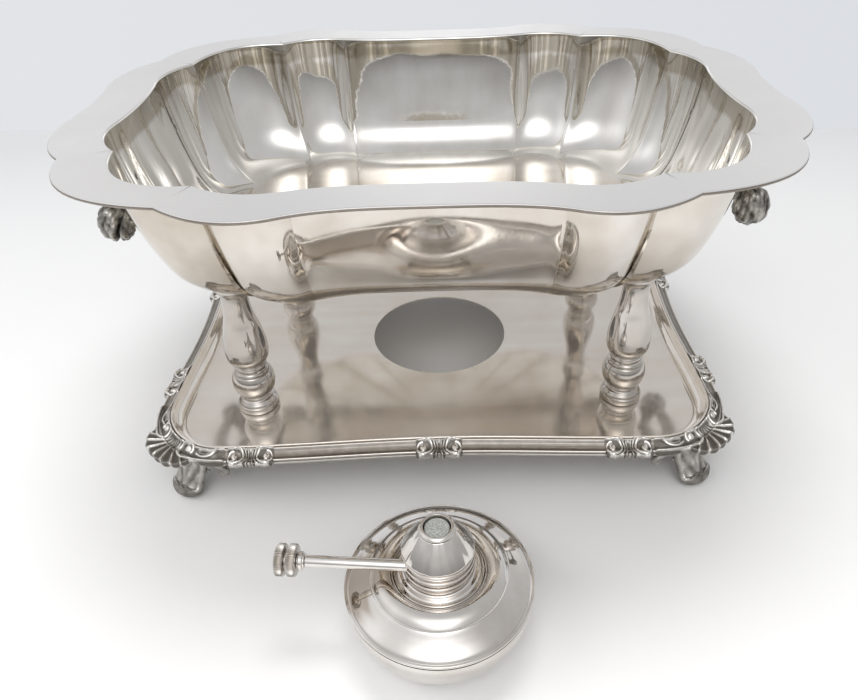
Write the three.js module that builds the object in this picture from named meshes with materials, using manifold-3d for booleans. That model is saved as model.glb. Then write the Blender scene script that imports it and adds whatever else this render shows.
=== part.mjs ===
// Open lobed serving dish on a footed stand, with a spirit burner beside it
// Millimetres, +Z up, the stand's long side along X, the burner in front of it at -Y
import * as THREE from "three";
import { mergeVertices } from "three/addons/utils/BufferGeometryUtils.js";
import Module from "manifold-3d";

const wasm = await Module();
wasm.setup();

// Heights and places of the whole set
const trayFloorHeight = 25;
const columnRise = 79.2;
const dishDepth = 69;
const columnHalfSpacingX = 102.5;
const columnHalfSpacingY = 64.8;
const burnerDistance = 186;
const burnerTurn = -4.8;
const fitGap = 0.3;
const cutOverrun = 3;

// Dish
const wallHalfLength = 150.5;
const wallHalfDepth = 114.5;
const flangeEndWidth = 26.5;
const flangeSideWidth = 24;
const floorHalfLength = 117;
const floorHalfDepth = 80;
const flangeThickness = 1.6;
const dishWall = 1.4;
const creaseDepth = 4.5;

// Quarter outlines from mid end to mid long side, lobe middles and creases by turns
const flangeShares = [
  [0.986, 0], [1, 0.206], [0.983, 0.397], [0.915, 0.537], [0.819, 0.787],
  [0.588, 0.904], [0.452, 1], [0.316, 0.985], [0, 0.939],
];
const wallShares = [
  [0.987, 0], [1, 0.249], [0.997, 0.427], [0.93, 0.578], [0.837, 0.849],
  [0.625, 0.924], [0.505, 1], [0.372, 0.991], [0, 0.953],
];
const floorShares = [
  [0.979, 0], [0.991, 0.252], [1, 0.415], [0.923, 0.553], [0.838, 0.805],
  [0.667, 0.918], [0.564, 1], [0.427, 0.975], [0, 0.86],
];
const creaseTopShare = 0.3;
const stepsPerLobe = 6;
const wallSteps = 6;

// Tray plate and its cast border
const rimHalfLength = 146.5;
const rimHalfDepth = 107;
const rimCornerRadius = 34;
const longSideBow = 3.5;
const shortSideBow = 3;
const coveWidth = 6;
const rimRise = 8;
const traySheet = 1.2;
const burnerHoleRadius = 41.5;
const borderWidth = 5.8;
const borderDrop = 2.6;
const borderTopDrop = 0.6;
const beadRadius = 1.5;
const borderFoot = 1.2;
const borderShelf = 9;
const cornerSteps = 6;
const longSideSteps = 10;
const shortSideSteps = 6;
const coveSteps = 4;
const hollowSteps = 4;
const beadSteps = 4;

// Cast ornaments on the border
const mountHalfLength = 12;
const mountReach = 10.5;
const mountStart = 2.4;
const mountPlate = 1;
const mountRelief = 1.4;
const mountLobe = 1.6;
const mountLip = 3;
const longMountGap = 1.2;
const shortMountGap = 8.7;
const mountColumns = 8;
const mountRows = 4;
const shellHalfLength = 29;
const shellFanHalf = 14;
const shellReach = 15.5;
const shellSideReach = 10.6;
const shellRelief = 1.5;
const shellRibs = 7;
const shellColumns = 16;
const shellRows = 4;
const drapeGap = 0.5;

// Feet
const footAngle = 54;
const footTopReach = 35;
const footToeReach = 46;
const footTopHalfWidth = 8;
const footHalfWidth = 6.6;
const footToeHalfWidth = 8.6;
const footThickness = 5;
const footSides = 10;
const footCurlReach = 12;
const footCurlRadius = 1.8;

// Columns with their tie rods
const columnRadius = 11.5;
const columnBaseRadius = 11.65;
const columnBaseRise = 27;
const tieRodRadius = 2;
const tieRodEnd = 1.6;
const boreGap = 0.6;
const nutAcross = 8;
const nutHeight = 2.6;
const nutSides = 6;
const bossRadius = 8.2;
const bossRise = 2.3;
const columnSides = 14;
const rodSides = 10;
const columnBaseShares = [
  [0.945, 0], [0.965, 0.12], [0.775, 0.25], [0.67, 0.31], [0.77, 0.37],
  [0.96, 0.53], [1, 0.67], [0.95, 0.8], [0.8, 0.92], [0.7, 1],
];
const columnShares = [
  [0.715, 0], [0.77, 0.03], [0.885, 0.095], [0.975, 0.145], [1, 0.2],
  [0.985, 0.3], [0.905, 0.42], [0.8, 0.53], [0.69, 0.625], [0.625, 0.72],
  [0.6, 0.835], [0.645, 0.915], [0.775, 0.98], [0.775, 1],
];

// End handles under the flange
const handleHalfSpan = 42;
const handleReach = 11;
const handleLeafReach = 8;
const handleDrop = 52;
const handleLugRise = 26;
const handleLugInset = 12;
const handleLeafRadius = 8.6;
const handleBarRadius = 4.2;
const handleLugRadius = 3.6;
const handleSides = 10;
const handleSteps = 24;

// Spirit burner
const burnerBaseRadius = 28.5;
const burnerRadius = 41.5;
const burnerSeamHeight = 25;
const burnerTopRise = 11.2;
const burnerSheet = 1;
const neckRadius = 11;
const neckBore = 8.6;
const neckFoot = 33.2;
const neckTop = 39.4;
const neckFlange = 1.8;
const collarRadius = 15.5;
const collarFoot = 36.3;
const collarTop = 48.1;
const collarGroove = 0.8;
const collarRings = 3;
const coneTop = 60;
const coneTopRadius = 7.9;
const coneWall = 1;
const wickTubeBore = 5.7;
const wickTubeWall = 0.7;
const wickTubeRise = 12;
const lipRadius = 7.9;
const lipHeight = 1.6;
const wickHeadRadius = 5.3;
const wickStemRadius = 3.2;
const wickHeadRise = 8;
const wickTop = 60.6;
const wickFoot = 6;
const carrierWall = 0.7;
const carrierFoot = 30;
const carrierTop = 50;
const toothDepth = 0.5;
const pinionRadius = 2;
const pinionTeeth = 8;
const pinionLength = 4;
const regulatorHeight = 44.2;
const shaftRadius = 1;
const regulatorTubeRadius = 2.55;
const regulatorTubeWall = 1;
const regulatorTubeEnd = 55;
const regulatorTubeStart = 10;
const ferruleRadius = 4;
const ferruleLength = 3;
const knobRadius = 6.9;
const knobDiscLength = 3.8;
const knobHubRadius = 4.6;
const knobHubLength = 0.9;
const knobKnurls = 20;
const knurlDepth = 0.35;
const burnerSides = 32;
const collarSides = 24;
const smallSides = 16;

// Materials
function metal(color, roughness) {
  return new THREE.MeshStandardMaterial({ color, roughness, metalness: 1 });
}
const silver = () => metal(0xd9d5cd, 0.14);
const satinSilver = () => metal(0xcfccc6, 0.3);
const castSilver = () => metal(0x9c978c, 0.35);
const nickel = () => metal(0xc9c6c0, 0.25);
const brass = () => metal(0xb59a5e, 0.35);
const cotton = () => new THREE.MeshStandardMaterial({ color: 0x8f928c, roughness: 0.95, metalness: 0 });

// Geometry helpers
function signedVolume(geometry) {
  const position = geometry.getAttribute("position");
  const index = geometry.getIndex();
  const a = new THREE.Vector3();
  const b = new THREE.Vector3();
  const c = new THREE.Vector3();
  let sum = 0;
  for (let i = 0; i < index.count; i += 3) {
    a.fromBufferAttribute(position, index.getX(i));
    b.fromBufferAttribute(position, index.getX(i + 1));
    c.fromBufferAttribute(position, index.getX(i + 2));
    sum += a.dot(b.cross(c));
  }
  return sum / 6;
}

// Turns every face outwards by the sign of the enclosed volume
function faceOut(geometry) {
  if (signedVolume(geometry) >= 0) {
    return geometry;
  }
  const index = geometry.getIndex();
  for (let i = 0; i < index.count; i += 3) {
    const second = index.getX(i + 1);
    index.setX(i + 1, index.getX(i + 2));
    index.setX(i + 2, second);
  }
  return geometry;
}

function indexedGeometry(points, triangles) {
  const geometry = new THREE.BufferGeometry();
  const flat = points.flatMap((point) => [point.x, point.y, point.z]);
  geometry.setAttribute("position", new THREE.Float32BufferAttribute(flat, 3));
  geometry.setIndex(triangles);
  return faceOut(geometry);
}

// Skins a list of rings with as many points each; an open list gets a fan over each end
function loft(rings, closed = false) {
  const count = rings[0].length;
  const points = rings.flat();
  const triangles = [];
  const bands = closed ? rings.length : rings.length - 1;
  for (let ring = 0; ring < bands; ring += 1) {
    const here = ring * count;
    const there = ((ring + 1) % rings.length) * count;
    for (let k = 0; k < count; k += 1) {
      const next = (k + 1) % count;
      triangles.push(here + k, here + next, there + next);
      triangles.push(here + k, there + next, there + k);
    }
  }
  if (!closed) {
    addFan(points, triangles, 0, count, true);
    addFan(points, triangles, (rings.length - 1) * count, count, false);
  }
  return indexedGeometry(points, triangles);
}

function addFan(points, triangles, start, count, flipped) {
  const middle = new THREE.Vector3();
  for (let k = 0; k < count; k += 1) {
    middle.addScaledVector(points[start + k], 1 / count);
  }
  const hub = points.length;
  points.push(middle);
  for (let k = 0; k < count; k += 1) {
    const next = (k + 1) % count;
    if (flipped) {
      triangles.push(hub, start + next, start + k);
    } else {
      triangles.push(hub, start + k, start + next);
    }
  }
}

// A thick patch between a top and a bottom surface over the unit square
function patch(columns, rows, topPoint, bottomPoint) {
  const across = rows + 1;
  const points = [];
  for (const surface of [topPoint, bottomPoint]) {
    for (let i = 0; i <= columns; i += 1) {
      for (let j = 0; j <= rows; j += 1) {
        points.push(surface(i / columns, j / rows));
      }
    }
  }
  const lower = (columns + 1) * across;
  const triangles = [];
  for (let i = 0; i < columns; i += 1) {
    for (let j = 0; j < rows; j += 1) {
      const a = i * across + j;
      const b = a + across;
      triangles.push(a, b, b + 1, a, b + 1, a + 1);
      triangles.push(lower + a, lower + b + 1, lower + b, lower + a, lower + a + 1, lower + b + 1);
    }
  }
  const border = [];
  for (let i = 0; i < columns; i += 1) {
    border.push(i * across);
  }
  for (let j = 0; j < rows; j += 1) {
    border.push(columns * across + j);
  }
  for (let i = columns; i > 0; i -= 1) {
    border.push(i * across + rows);
  }
  for (let j = rows; j > 0; j -= 1) {
    border.push(j);
  }
  border.forEach((a, k) => {
    const b = border[(k + 1) % border.length];
    triangles.push(a, lower + b, b, a, lower + a, lower + b);
  });
  return indexedGeometry(points, triangles);
}

// Turns a profile of [radius, height] pairs about Z; a profile off the axis closes on itself
function turned(profile, sides) {
  const points = profile.map(([radius, height]) => new THREE.Vector2(radius, height));
  if (profile[0][0] > 0) {
    points.push(points[0].clone());
  }
  const geometry = new THREE.LatheGeometry(points, sides);
  geometry.rotateX(Math.PI / 2);
  return faceOut(mergedPositions(geometry));
}

function mergedPositions(geometry) {
  geometry.deleteAttribute("normal");
  geometry.deleteAttribute("uv");
  return mergeVertices(geometry);
}

function solidOf(geometry) {
  const position = geometry.getAttribute("position");
  const vertProperties = new Float32Array(position.array);
  const triVerts = new Uint32Array(geometry.getIndex().array);
  return new wasm.Manifold(new wasm.Mesh({ numProp: 3, vertProperties, triVerts }));
}

function geometryOf(solid) {
  const mesh = solid.getMesh();
  const geometry = new THREE.BufferGeometry();
  geometry.setAttribute("position", new THREE.BufferAttribute(mesh.vertProperties, 3));
  geometry.setIndex(new THREE.BufferAttribute(mesh.triVerts, 1));
  return geometry;
}

function cutBy(body, tools) {
  let solid = solidOf(body);
  for (const tool of tools) {
    solid = solid.subtract(solidOf(tool));
  }
  return geometryOf(solid);
}

function joined(bodies) {
  let solid = solidOf(bodies[0]);
  for (const body of bodies.slice(1)) {
    solid = solid.add(solidOf(body));
  }
  return geometryOf(solid);
}

function disc(radius, bottom, top, sides) {
  return turned([[0, bottom], [radius, bottom], [radius, top], [0, top]], sides);
}

function ringBody(bore, radius, bottom, top, sides) {
  return turned([[bore, bottom], [radius, bottom], [radius, top], [bore, top]], sides);
}

// A faceted hole keeps its flats this far out, so a round pin of the same count clears it
function clearBore(radius, sides) {
  return radius / Math.cos(Math.PI / sides);
}

// A plate between corner points, with a round bore for a rod
function boredPlate(corners, boreRadius, depth) {
  const shape = new THREE.Shape(corners);
  const bore = new THREE.Path();
  bore.absarc(0, 0, clearBore(boreRadius, rodSides), 0, 2 * Math.PI);
  shape.holes.push(bore);
  const settings = { depth, bevelEnabled: false, curveSegments: rodSides };
  return faceOut(mergedPositions(new THREE.ExtrudeGeometry(shape, settings)));
}

function part(name, geometry, material) {
  const mesh = new THREE.Mesh(geometry, material);
  mesh.name = name;
  return mesh;
}

const mix = THREE.MathUtils.lerp;

// Dish outline: sixteen lobes between creases, each a curve through its middle point
function fullOutline(shares, halfLength, halfDepth) {
  const quarter = shares.map(([x, y]) => new THREE.Vector2(x * halfLength, y * halfDepth));
  const turn = (x, y) => (point) => new THREE.Vector2(point.x * x, point.y * y);
  const last = quarter.length - 1;
  return [
    ...quarter,
    ...quarter.slice(0, last).reverse().map(turn(-1, 1)),
    ...quarter.slice(1).map(turn(-1, -1)),
    ...quarter.slice(1, last).reverse().map(turn(1, -1)),
  ];
}

function lobeShare(step) {
  return 0.5 - 0.5 * Math.cos((Math.PI * step) / stepsPerLobe);
}

function outlineLoop(shares, halfLength, halfDepth) {
  const stops = fullOutline(shares, halfLength, halfDepth);
  const loop = [];
  for (let crease = 1; crease < stops.length; crease += 2) {
    const start = stops[crease];
    const middle = stops[(crease + 1) % stops.length];
    const end = stops[(crease + 2) % stops.length];
    const control = middle.clone().multiplyScalar(2);
    control.addScaledVector(start, -0.5).addScaledVector(end, -0.5);
    const curve = new THREE.QuadraticBezierCurve(start, control, end);
    for (let step = 0; step < stepsPerLobe; step += 1) {
      loop.push(curve.getPoint(lobeShare(step)));
    }
  }
  return loop;
}

// Outward normals of a loop that runs anticlockwise
function loopNormals(loop) {
  return loop.map((point, k) => {
    const before = loop[(k + loop.length - 1) % loop.length];
    const after = loop[(k + 1) % loop.length];
    return new THREE.Vector2(after.y - before.y, before.x - after.x).normalize();
  });
}

function grown(loop, amount) {
  const normals = loopNormals(loop);
  return loop.map((point, k) => point.clone().addScaledVector(normals[k], amount));
}

function atHeight(loop, height) {
  return loop.map((point) => new THREE.Vector3(point.x, point.y, height));
}

// How far a point of the wall sinks into its crease, 1 at the crease and 0 in mid lobe
function creaseShare(k) {
  return 1 - Math.sqrt(Math.sin(Math.PI * lobeShare(k % stepsPerLobe)));
}

const dishTop = trayFloorHeight + fitGap + columnRise + bossRise + fitGap + dishDepth;
const flangeHalfLength = wallHalfLength + flangeEndWidth;
const flangeHalfDepth = wallHalfDepth + flangeSideWidth;
const flangeLoop = outlineLoop(flangeShares, flangeHalfLength, flangeHalfDepth);
const wallLoop = outlineLoop(wallShares, wallHalfLength, wallHalfDepth);
const floorLoop = outlineLoop(floorShares, floorHalfLength, floorHalfDepth);

// One ring of the bulging wall, at a quarter turn share from the flange down to the floor
function wallRing(topLoop, depth, turnShare) {
  const turn = (turnShare * Math.PI) / 2;
  const inset = 1 - Math.cos(turn);
  const crease = creaseDepth * mix(creaseTopShare, 1, Math.sin(2 * turn));
  const ring = topLoop.map((point, k) => point.clone().lerp(floorLoop[k], inset));
  const normals = loopNormals(ring);
  return ring.map((point, k) => {
    point.addScaledVector(normals[k], -crease * creaseShare(k));
    return new THREE.Vector3(point.x, point.y, dishTop - depth * Math.sin(turn));
  });
}

function dishOuterRings(clearance = 0) {
  const outerLoop = grown(wallLoop, dishWall + clearance);
  const firstShare = Math.asin(flangeThickness / dishDepth) / (Math.PI / 2);
  const rings = [];
  for (let step = 0; step <= wallSteps; step += 1) {
    rings.push(wallRing(outerLoop, dishDepth, mix(firstShare, 1, step / wallSteps)));
  }
  return rings;
}

function dishPan() {
  const innerRings = [];
  for (let step = wallSteps; step >= 0; step -= 1) {
    innerRings.push(wallRing(wallLoop, dishDepth - dishWall, step / wallSteps));
  }
  const flangeRings = [atHeight(flangeLoop, dishTop), atHeight(flangeLoop, dishTop - flangeThickness)];
  return loft([...innerRings, ...flangeRings, ...dishOuterRings()]);
}

// The filled outside of the dish, grown and lowered by the fit, that its saddles and handles are cut to
function dishCutter() {
  const geometry = loft(dishOuterRings(fitGap));
  geometry.translate(0, 0, -fitGap);
  return geometry;
}

// Tray outline: round corners with gently hollow sides, grown by an offset
const cornerX = rimHalfLength - rimCornerRadius;
const cornerY = rimHalfDepth - rimCornerRadius;

function sideBow(bow, along, half) {
  return (bow * (1 + Math.cos((Math.PI * along) / half))) / 2;
}

function trayLoop(offset) {
  const loop = [];
  const quadrants = [[1, 1], [-1, 1], [-1, -1], [1, -1]];
  quadrants.forEach(([signX, signY], quadrant) => {
    for (let step = 0; step <= cornerSteps; step += 1) {
      const angle = (Math.PI / 2) * (quadrant + step / cornerSteps);
      const radius = rimCornerRadius + offset;
      const x = signX * cornerX + radius * Math.cos(angle);
      const y = signY * cornerY + radius * Math.sin(angle);
      loop.push(new THREE.Vector2(x, y));
    }
    const long = quadrant % 2 === 0;
    const steps = long ? longSideSteps : shortSideSteps;
    for (let step = 1; step < steps; step += 1) {
      const share = 1 - (2 * step) / steps;
      if (long) {
        const y = rimHalfDepth + offset - sideBow(longSideBow, share, 1);
        loop.push(new THREE.Vector2(signX * share * cornerX, signY * y));
      } else {
        const x = rimHalfLength + offset - sideBow(shortSideBow, share, 1);
        loop.push(new THREE.Vector2(signX * x, signY * share * cornerY));
      }
    }
  });
  return loop;
}

function trayRing([offset, height]) {
  return atHeight(trayLoop(offset), height);
}

// The cove from the tray floor up to the rim, as [offset, height] pairs a sheet thickness apart
function coveProfile(spread) {
  const profile = [];
  for (let step = 0; step <= coveSteps; step += 1) {
    const angle = (Math.PI / 2) * (step / coveSteps);
    const offset = -coveWidth + (coveWidth + spread) * Math.sin(angle);
    const height = trayFloorHeight - spread + (rimRise + spread) * (1 - Math.cos(angle));
    profile.push([offset, height]);
  }
  return profile;
}

const columnPlaces = [[1, 1], [-1, 1], [-1, -1], [1, -1]].map(([signX, signY]) => (
  [signX * columnHalfSpacingX, signY * columnHalfSpacingY]
));

function trayPlate() {
  const rings = [...coveProfile(traySheet), ...coveProfile(0).reverse()].map(trayRing);
  const holeBottom = trayFloorHeight - traySheet - cutOverrun;
  const holeTop = trayFloorHeight + cutOverrun;
  const holes = [disc(burnerHoleRadius, holeBottom, holeTop, burnerSides)];
  for (const [x, y] of columnPlaces) {
    const hole = disc(clearBore(tieRodRadius + fitGap, rodSides), holeBottom, holeTop, rodSides);
    hole.translate(x, y, 0);
    holes.push(hole);
  }
  return cutBy(loft(rings), holes);
}

const borderInner = traySheet + fitGap;
const borderTop = trayFloorHeight + rimRise - borderTopDrop;
const borderEdge = borderTop - borderDrop;
const borderOuter = borderInner + borderWidth;
const borderBottom = trayFloorHeight - traySheet - fitGap - borderFoot;

// Height of the border's hollow upper face at an offset outside the rim
function borderHeight(offset) {
  const share = THREE.MathUtils.clamp((offset - borderInner) / borderWidth, 0, 1);
  return borderEdge + borderDrop * (1 - share) ** 2;
}

function trayBorder() {
  const profile = [];
  for (let step = 0; step <= hollowSteps; step += 1) {
    const offset = borderInner + (borderWidth * step) / hollowSteps;
    profile.push([offset, borderHeight(offset)]);
  }
  for (let step = 1; step <= beadSteps; step += 1) {
    const angle = Math.PI * (step / beadSteps);
    const offset = borderOuter + beadRadius * Math.sin(angle);
    profile.push([offset, borderEdge - beadRadius + beadRadius * Math.cos(angle)]);
  }
  profile.push([borderInner, borderBottom]);
  profile.push([-coveWidth - borderShelf, borderBottom]);
  const seat = coveProfile(traySheet + fitGap);
  profile.push([-coveWidth - borderShelf, seat[0][1]]);
  profile.push(...seat.slice(0, -1));
  return loft(profile.map(trayRing), true);
}

// The outer mounts of a side follow the corner shells, which run on a little past the round corners
const cornerArcHalf = (rimCornerRadius * Math.PI) / 4;
const shellPast = shellHalfLength - cornerArcHalf;
const longMountPlace = cornerX - shellPast - longMountGap - mountHalfLength;
const shortMountPlace = cornerY - shellPast - shortMountGap - mountHalfLength;

// A point of the border's drape on a side, at a length along it and an offset outside the rim
function longSidePoint(along, offset, sign) {
  const bow = sideBow(longSideBow, along, cornerX);
  return new THREE.Vector2(along, sign * (rimHalfDepth + offset - bow));
}

function shortSidePoint(along, offset, sign) {
  const bow = sideBow(shortSideBow, along, cornerY);
  return new THREE.Vector2(sign * (rimHalfLength + offset - bow), along);
}

// The same round a corner, the length measured from its diagonal and running on along the sides
function cornerPoint(along, offset, signX, signY) {
  const onArc = THREE.MathUtils.clamp(along, -cornerArcHalf, cornerArcHalf);
  const past = along - onArc;
  const angle = Math.PI / 4 + onArc / rimCornerRadius;
  const radius = rimCornerRadius + offset;
  const x = cornerX + radius * Math.cos(angle) - Math.max(past, 0);
  const y = cornerY + radius * Math.sin(angle) + Math.min(past, 0);
  return new THREE.Vector2(signX * x, signY * y);
}

// An ornament that drapes over the border: place gives its plan, reach and relief its outline and swell
function drapedOrnament({ columns, rows, place, halfLength, reach, relief }) {
  const beadOffset = borderOuter + beadRadius + drapeGap;
  const planShare = (rows - 1) / rows;
  const offsetAt = (along, across, edge) => {
    if (across > planShare) {
      return edge;
    }
    return mix(mountStart, Math.min(beadOffset, edge), across / planShare);
  };
  const surface = (share, across, isTop) => {
    const along = mix(-1, 1, share);
    const edge = Math.max(reach(along), beadOffset + drapeGap);
    const offset = offsetAt(along, across, edge);
    const plan = place(along * halfLength, offset);
    const base = borderHeight(offset) + drapeGap;
    const atLip = across > planShare;
    if (isTop) {
      const swell = mountPlate + (atLip ? 0 : relief(along, across));
      return new THREE.Vector3(plan.x, plan.y, base + swell);
    }
    return new THREE.Vector3(plan.x, plan.y, atLip ? base - mountLip : base);
  };
  return patch(
    columns,
    rows,
    (share, across) => surface(share, across, true),
    (share, across) => surface(share, across, false),
  );
}

function scrollMount(place) {
  return drapedOrnament({
    columns: mountColumns,
    rows: mountRows,
    place,
    halfLength: mountHalfLength,
    reach: (along) => mountReach + mountLobe * Math.abs(Math.sin(Math.PI * along)),
    relief: (along, across) => {
      const scroll = Math.abs(Math.sin(Math.PI * along));
      return mountRelief * scroll * Math.sin(Math.PI * across);
    },
  });
}

function cornerShell(signX, signY) {
  const fanShare = shellFanHalf / shellHalfLength;
  const fan = (along) => Math.max(0, 1 - (along / fanShare) ** 2);
  const ribs = (along) => 0.5 + 0.5 * Math.cos((Math.PI * shellRibs * along) / fanShare);
  return drapedOrnament({
    columns: shellColumns,
    rows: shellRows,
    place: (along, offset) => cornerPoint(along, offset, signX, signY),
    halfLength: shellHalfLength,
    reach: (along) => mix(shellSideReach, shellReach, fan(along)),
    relief: (along, across) => {
      const swell = fan(along) > 0 ? ribs(along) : Math.abs(Math.sin(2 * Math.PI * along));
      return shellRelief * swell * across;
    },
  });
}

// Foot: a leaf that springs from the corner, narrows, and rolls out into a toe on the table
const footStations = [
  { reachShare: 0, heightShare: 1, halfWidth: footTopHalfWidth, thicknessShare: 1.3 },
  { reachShare: 0.04, heightShare: 0.8, halfWidth: footTopHalfWidth, thicknessShare: 1.2 },
  { reachShare: 0.14, heightShare: 0.6, halfWidth: footHalfWidth, thicknessShare: 1 },
  { reachShare: 0.34, heightShare: 0.4, halfWidth: footHalfWidth, thicknessShare: 0.9 },
  { reachShare: 0.58, heightShare: 0.17, halfWidth: footToeHalfWidth, thicknessShare: 0.9 },
  { reachShare: 0.76, heightShare: 0.05, halfWidth: footToeHalfWidth, thicknessShare: 0.9 },
  { reachShare: 0.92, heightShare: 0.05, halfWidth: footToeHalfWidth, thicknessShare: 0.8 },
  { reachShare: 1, heightShare: 0.15, halfWidth: footHalfWidth, thicknessShare: 0.6 },
];
const footTop = borderBottom - fitGap;

function footLeaf() {
  const path = footStations.map(({ reachShare, heightShare }) => (
    new THREE.Vector2(mix(footTopReach, footToeReach, reachShare), footTop * heightShare)
  ));
  const rings = path.map((point, k) => {
    const { halfWidth, thicknessShare } = footStations[k];
    const before = path[Math.max(k - 1, 0)];
    const after = path[Math.min(k + 1, path.length - 1)];
    const along = after.clone().sub(before).normalize();
    const half = (footThickness * thicknessShare) / 2;
    const ring = [];
    for (let side = 0; side < footSides; side += 1) {
      const angle = (2 * Math.PI * side) / footSides;
      const out = half * Math.cos(angle);
      const x = point.x - along.y * out;
      const height = THREE.MathUtils.clamp(point.y + along.x * out, 0, footTop);
      ring.push(new THREE.Vector3(x, halfWidth * Math.sin(angle), height));
    }
    return ring;
  });
  return loft(rings);
}

// A small side curl at the top of the foot, under the border
function footCurl(side) {
  const rise = footTop - footCurlRadius - fitGap;
  const start = footTopReach + footCurlRadius;
  const drop = 2 * footCurlRadius;
  const stops = [
    new THREE.Vector3(start, 0, rise - footCurlRadius),
    new THREE.Vector3(start, (side * footCurlReach) / 2, rise),
    new THREE.Vector3(start, side * footCurlReach, rise - footCurlRadius),
    new THREE.Vector3(start, side * (footCurlReach + footCurlRadius), rise - drop),
  ];
  const curve = new THREE.CatmullRomCurve3(stops);
  return sweep(curve, stops.length + 1, footSides, () => footCurlRadius);
}

// Skins a round section of changing radius along a curve
function sweep(curve, steps, sides, radiusAt) {
  const frames = curve.computeFrenetFrames(steps);
  const rings = [];
  for (let step = 0; step <= steps; step += 1) {
    const centre = curve.getPointAt(step / steps);
    const radius = radiusAt(centre);
    const ring = [];
    for (let side = 0; side < sides; side += 1) {
      const angle = (2 * Math.PI * side) / sides;
      const point = centre.clone();
      point.addScaledVector(frames.normals[step], radius * Math.cos(angle));
      point.addScaledVector(frames.binormals[step], radius * Math.sin(angle));
      ring.push(point);
    }
    rings.push(ring);
  }
  return loft(rings);
}

function foot(signX, signY) {
  const body = joined([footLeaf(), footCurl(1), footCurl(-1)]);
  const direction = Math.atan2(
    signY * Math.sin(THREE.MathUtils.degToRad(footAngle)),
    signX * Math.cos(THREE.MathUtils.degToRad(footAngle)),
  );
  body.rotateZ(direction);
  body.translate(signX * cornerX, signY * cornerY, 0);
  return body;
}

// Columns: ring and knop below, vase above, a tie rod through both and a nut under the tray
function boredProfile(shares, radius, bottom, rise) {
  const bore = clearBore(tieRodRadius + boreGap, columnSides);
  const outline = shares.map(([out, up]) => [radius * out, bottom + rise * up]);
  return [[bore, bottom], ...outline, [bore, bottom + rise]];
}

const columnFoot = trayFloorHeight + fitGap;
const vaseFoot = columnFoot + columnBaseRise + fitGap;
const columnTop = columnFoot + columnRise;
const vaseRise = columnTop - vaseFoot;
const bossFoot = columnTop + fitGap;
const nutTop = trayFloorHeight - traySheet - fitGap;

function columnBase() {
  const profile = boredProfile(columnBaseShares, columnBaseRadius, columnFoot, columnBaseRise);
  return turned(profile, columnSides);
}

function columnVase() {
  return turned(boredProfile(columnShares, columnRadius, vaseFoot, vaseRise), columnSides);
}

function tieRod() {
  return disc(tieRodRadius, nutTop - nutHeight - tieRodEnd, bossFoot - fitGap, rodSides);
}

function tieNut() {
  const corner = clearBore(nutAcross / 2, nutSides);
  const corners = [];
  for (let side = 0; side < nutSides; side += 1) {
    const angle = (2 * Math.PI * side) / nutSides;
    corners.push(new THREE.Vector2(corner * Math.cos(angle), corner * Math.sin(angle)));
  }
  const geometry = boredPlate(corners, tieRodRadius + fitGap, nutHeight);
  geometry.translate(0, 0, nutTop - nutHeight);
  return geometry;
}

function saddleBoss(x, y) {
  const blank = disc(bossRadius, bossFoot, bossFoot + bossRise + bossRadius, smallSides);
  blank.translate(x, y, 0);
  return cutBy(blank, [dishCutter()]);
}

// End handle: a cast bar beside the wall, hung from two lugs, with a leaf cluster at each end
function endHandle(sign) {
  const wallX = wallHalfLength + dishWall;
  const barHeight = dishTop - handleDrop;
  const lugHeight = barHeight + handleLugRise;
  const lugY = handleHalfSpan - handleLugInset;
  const half = [
    new THREE.Vector3(wallX - handleLugRadius, lugY, lugHeight),
    new THREE.Vector3(wallX + handleLugRadius, lugY + handleLugInset / 2, lugHeight - handleLugRadius),
    new THREE.Vector3(wallX + handleLeafReach, handleHalfSpan, barHeight + handleLeafRadius / 2),
    new THREE.Vector3(wallX + handleReach, handleHalfSpan / 2, barHeight),
  ];
  const mirrored = half.map(({ x, y, z }) => new THREE.Vector3(x, -y, z)).reverse();
  const stops = [...half, ...mirrored].map(({ x, y, z }) => new THREE.Vector3(sign * x, y, z));
  const leaves = [stops[2], stops[stops.length - 3]];
  const curve = new THREE.CatmullRomCurve3(stops, false, "centripetal");
  const radiusAt = (point) => {
    const away = Math.min(...leaves.map((leaf) => leaf.distanceTo(point)));
    return mix(handleBarRadius, handleLeafRadius, Math.exp(-((away / handleLeafRadius) ** 2)));
  };
  return cutBy(sweep(curve, handleSteps, handleSides, radiusAt), [dishCutter()]);
}

// Burner reservoir: two spun halves that meet at a beaded rim
function reservoirBase() {
  const flare = burnerRadius - burnerBaseRadius;
  const sideShares = [[0, 0], [0.42, 0.1], [0.74, 0.32], [0.93, 0.62], [1, 1]];
  const outer = sideShares.map(([out, up]) => [burnerBaseRadius + flare * out, burnerSeamHeight * up]);
  const inner = sideShares.map(([out, up]) => [
    burnerBaseRadius - burnerSheet + flare * out,
    mix(burnerSheet, burnerSeamHeight, up),
  ]).reverse();
  return turned([[0, 0], ...outer, ...inner, [0, burnerSheet]], burnerSides);
}

function reservoirTop() {
  const seam = burnerSeamHeight + fitGap;
  const bore = neckBore - burnerSheet;
  const shoulder = neckRadius + neckFlange;
  const topShares = [
    [1, 0], [1, 0.14], [0.93, 0.3], [0.8, 0.56], [0.71, 0.74], [0.66, 0.9], [0.58, 1], [0.49, 0.92],
  ];
  const outer = topShares.map(([out, up]) => [burnerRadius * out, seam + burnerTopRise * up]);
  const wellHeight = neckFoot - fitGap;
  const under = outer.slice(1).reverse().map(([radius, height]) => (
    [radius - burnerSheet, height - burnerSheet]
  ));
  const profile = [
    ...outer,
    [shoulder, wellHeight],
    [bore, wellHeight],
    [bore, wellHeight - burnerSheet],
    [shoulder, wellHeight - burnerSheet],
    ...under,
    [burnerRadius - burnerSheet, seam],
  ];
  return turned(profile, burnerSides);
}

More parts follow.
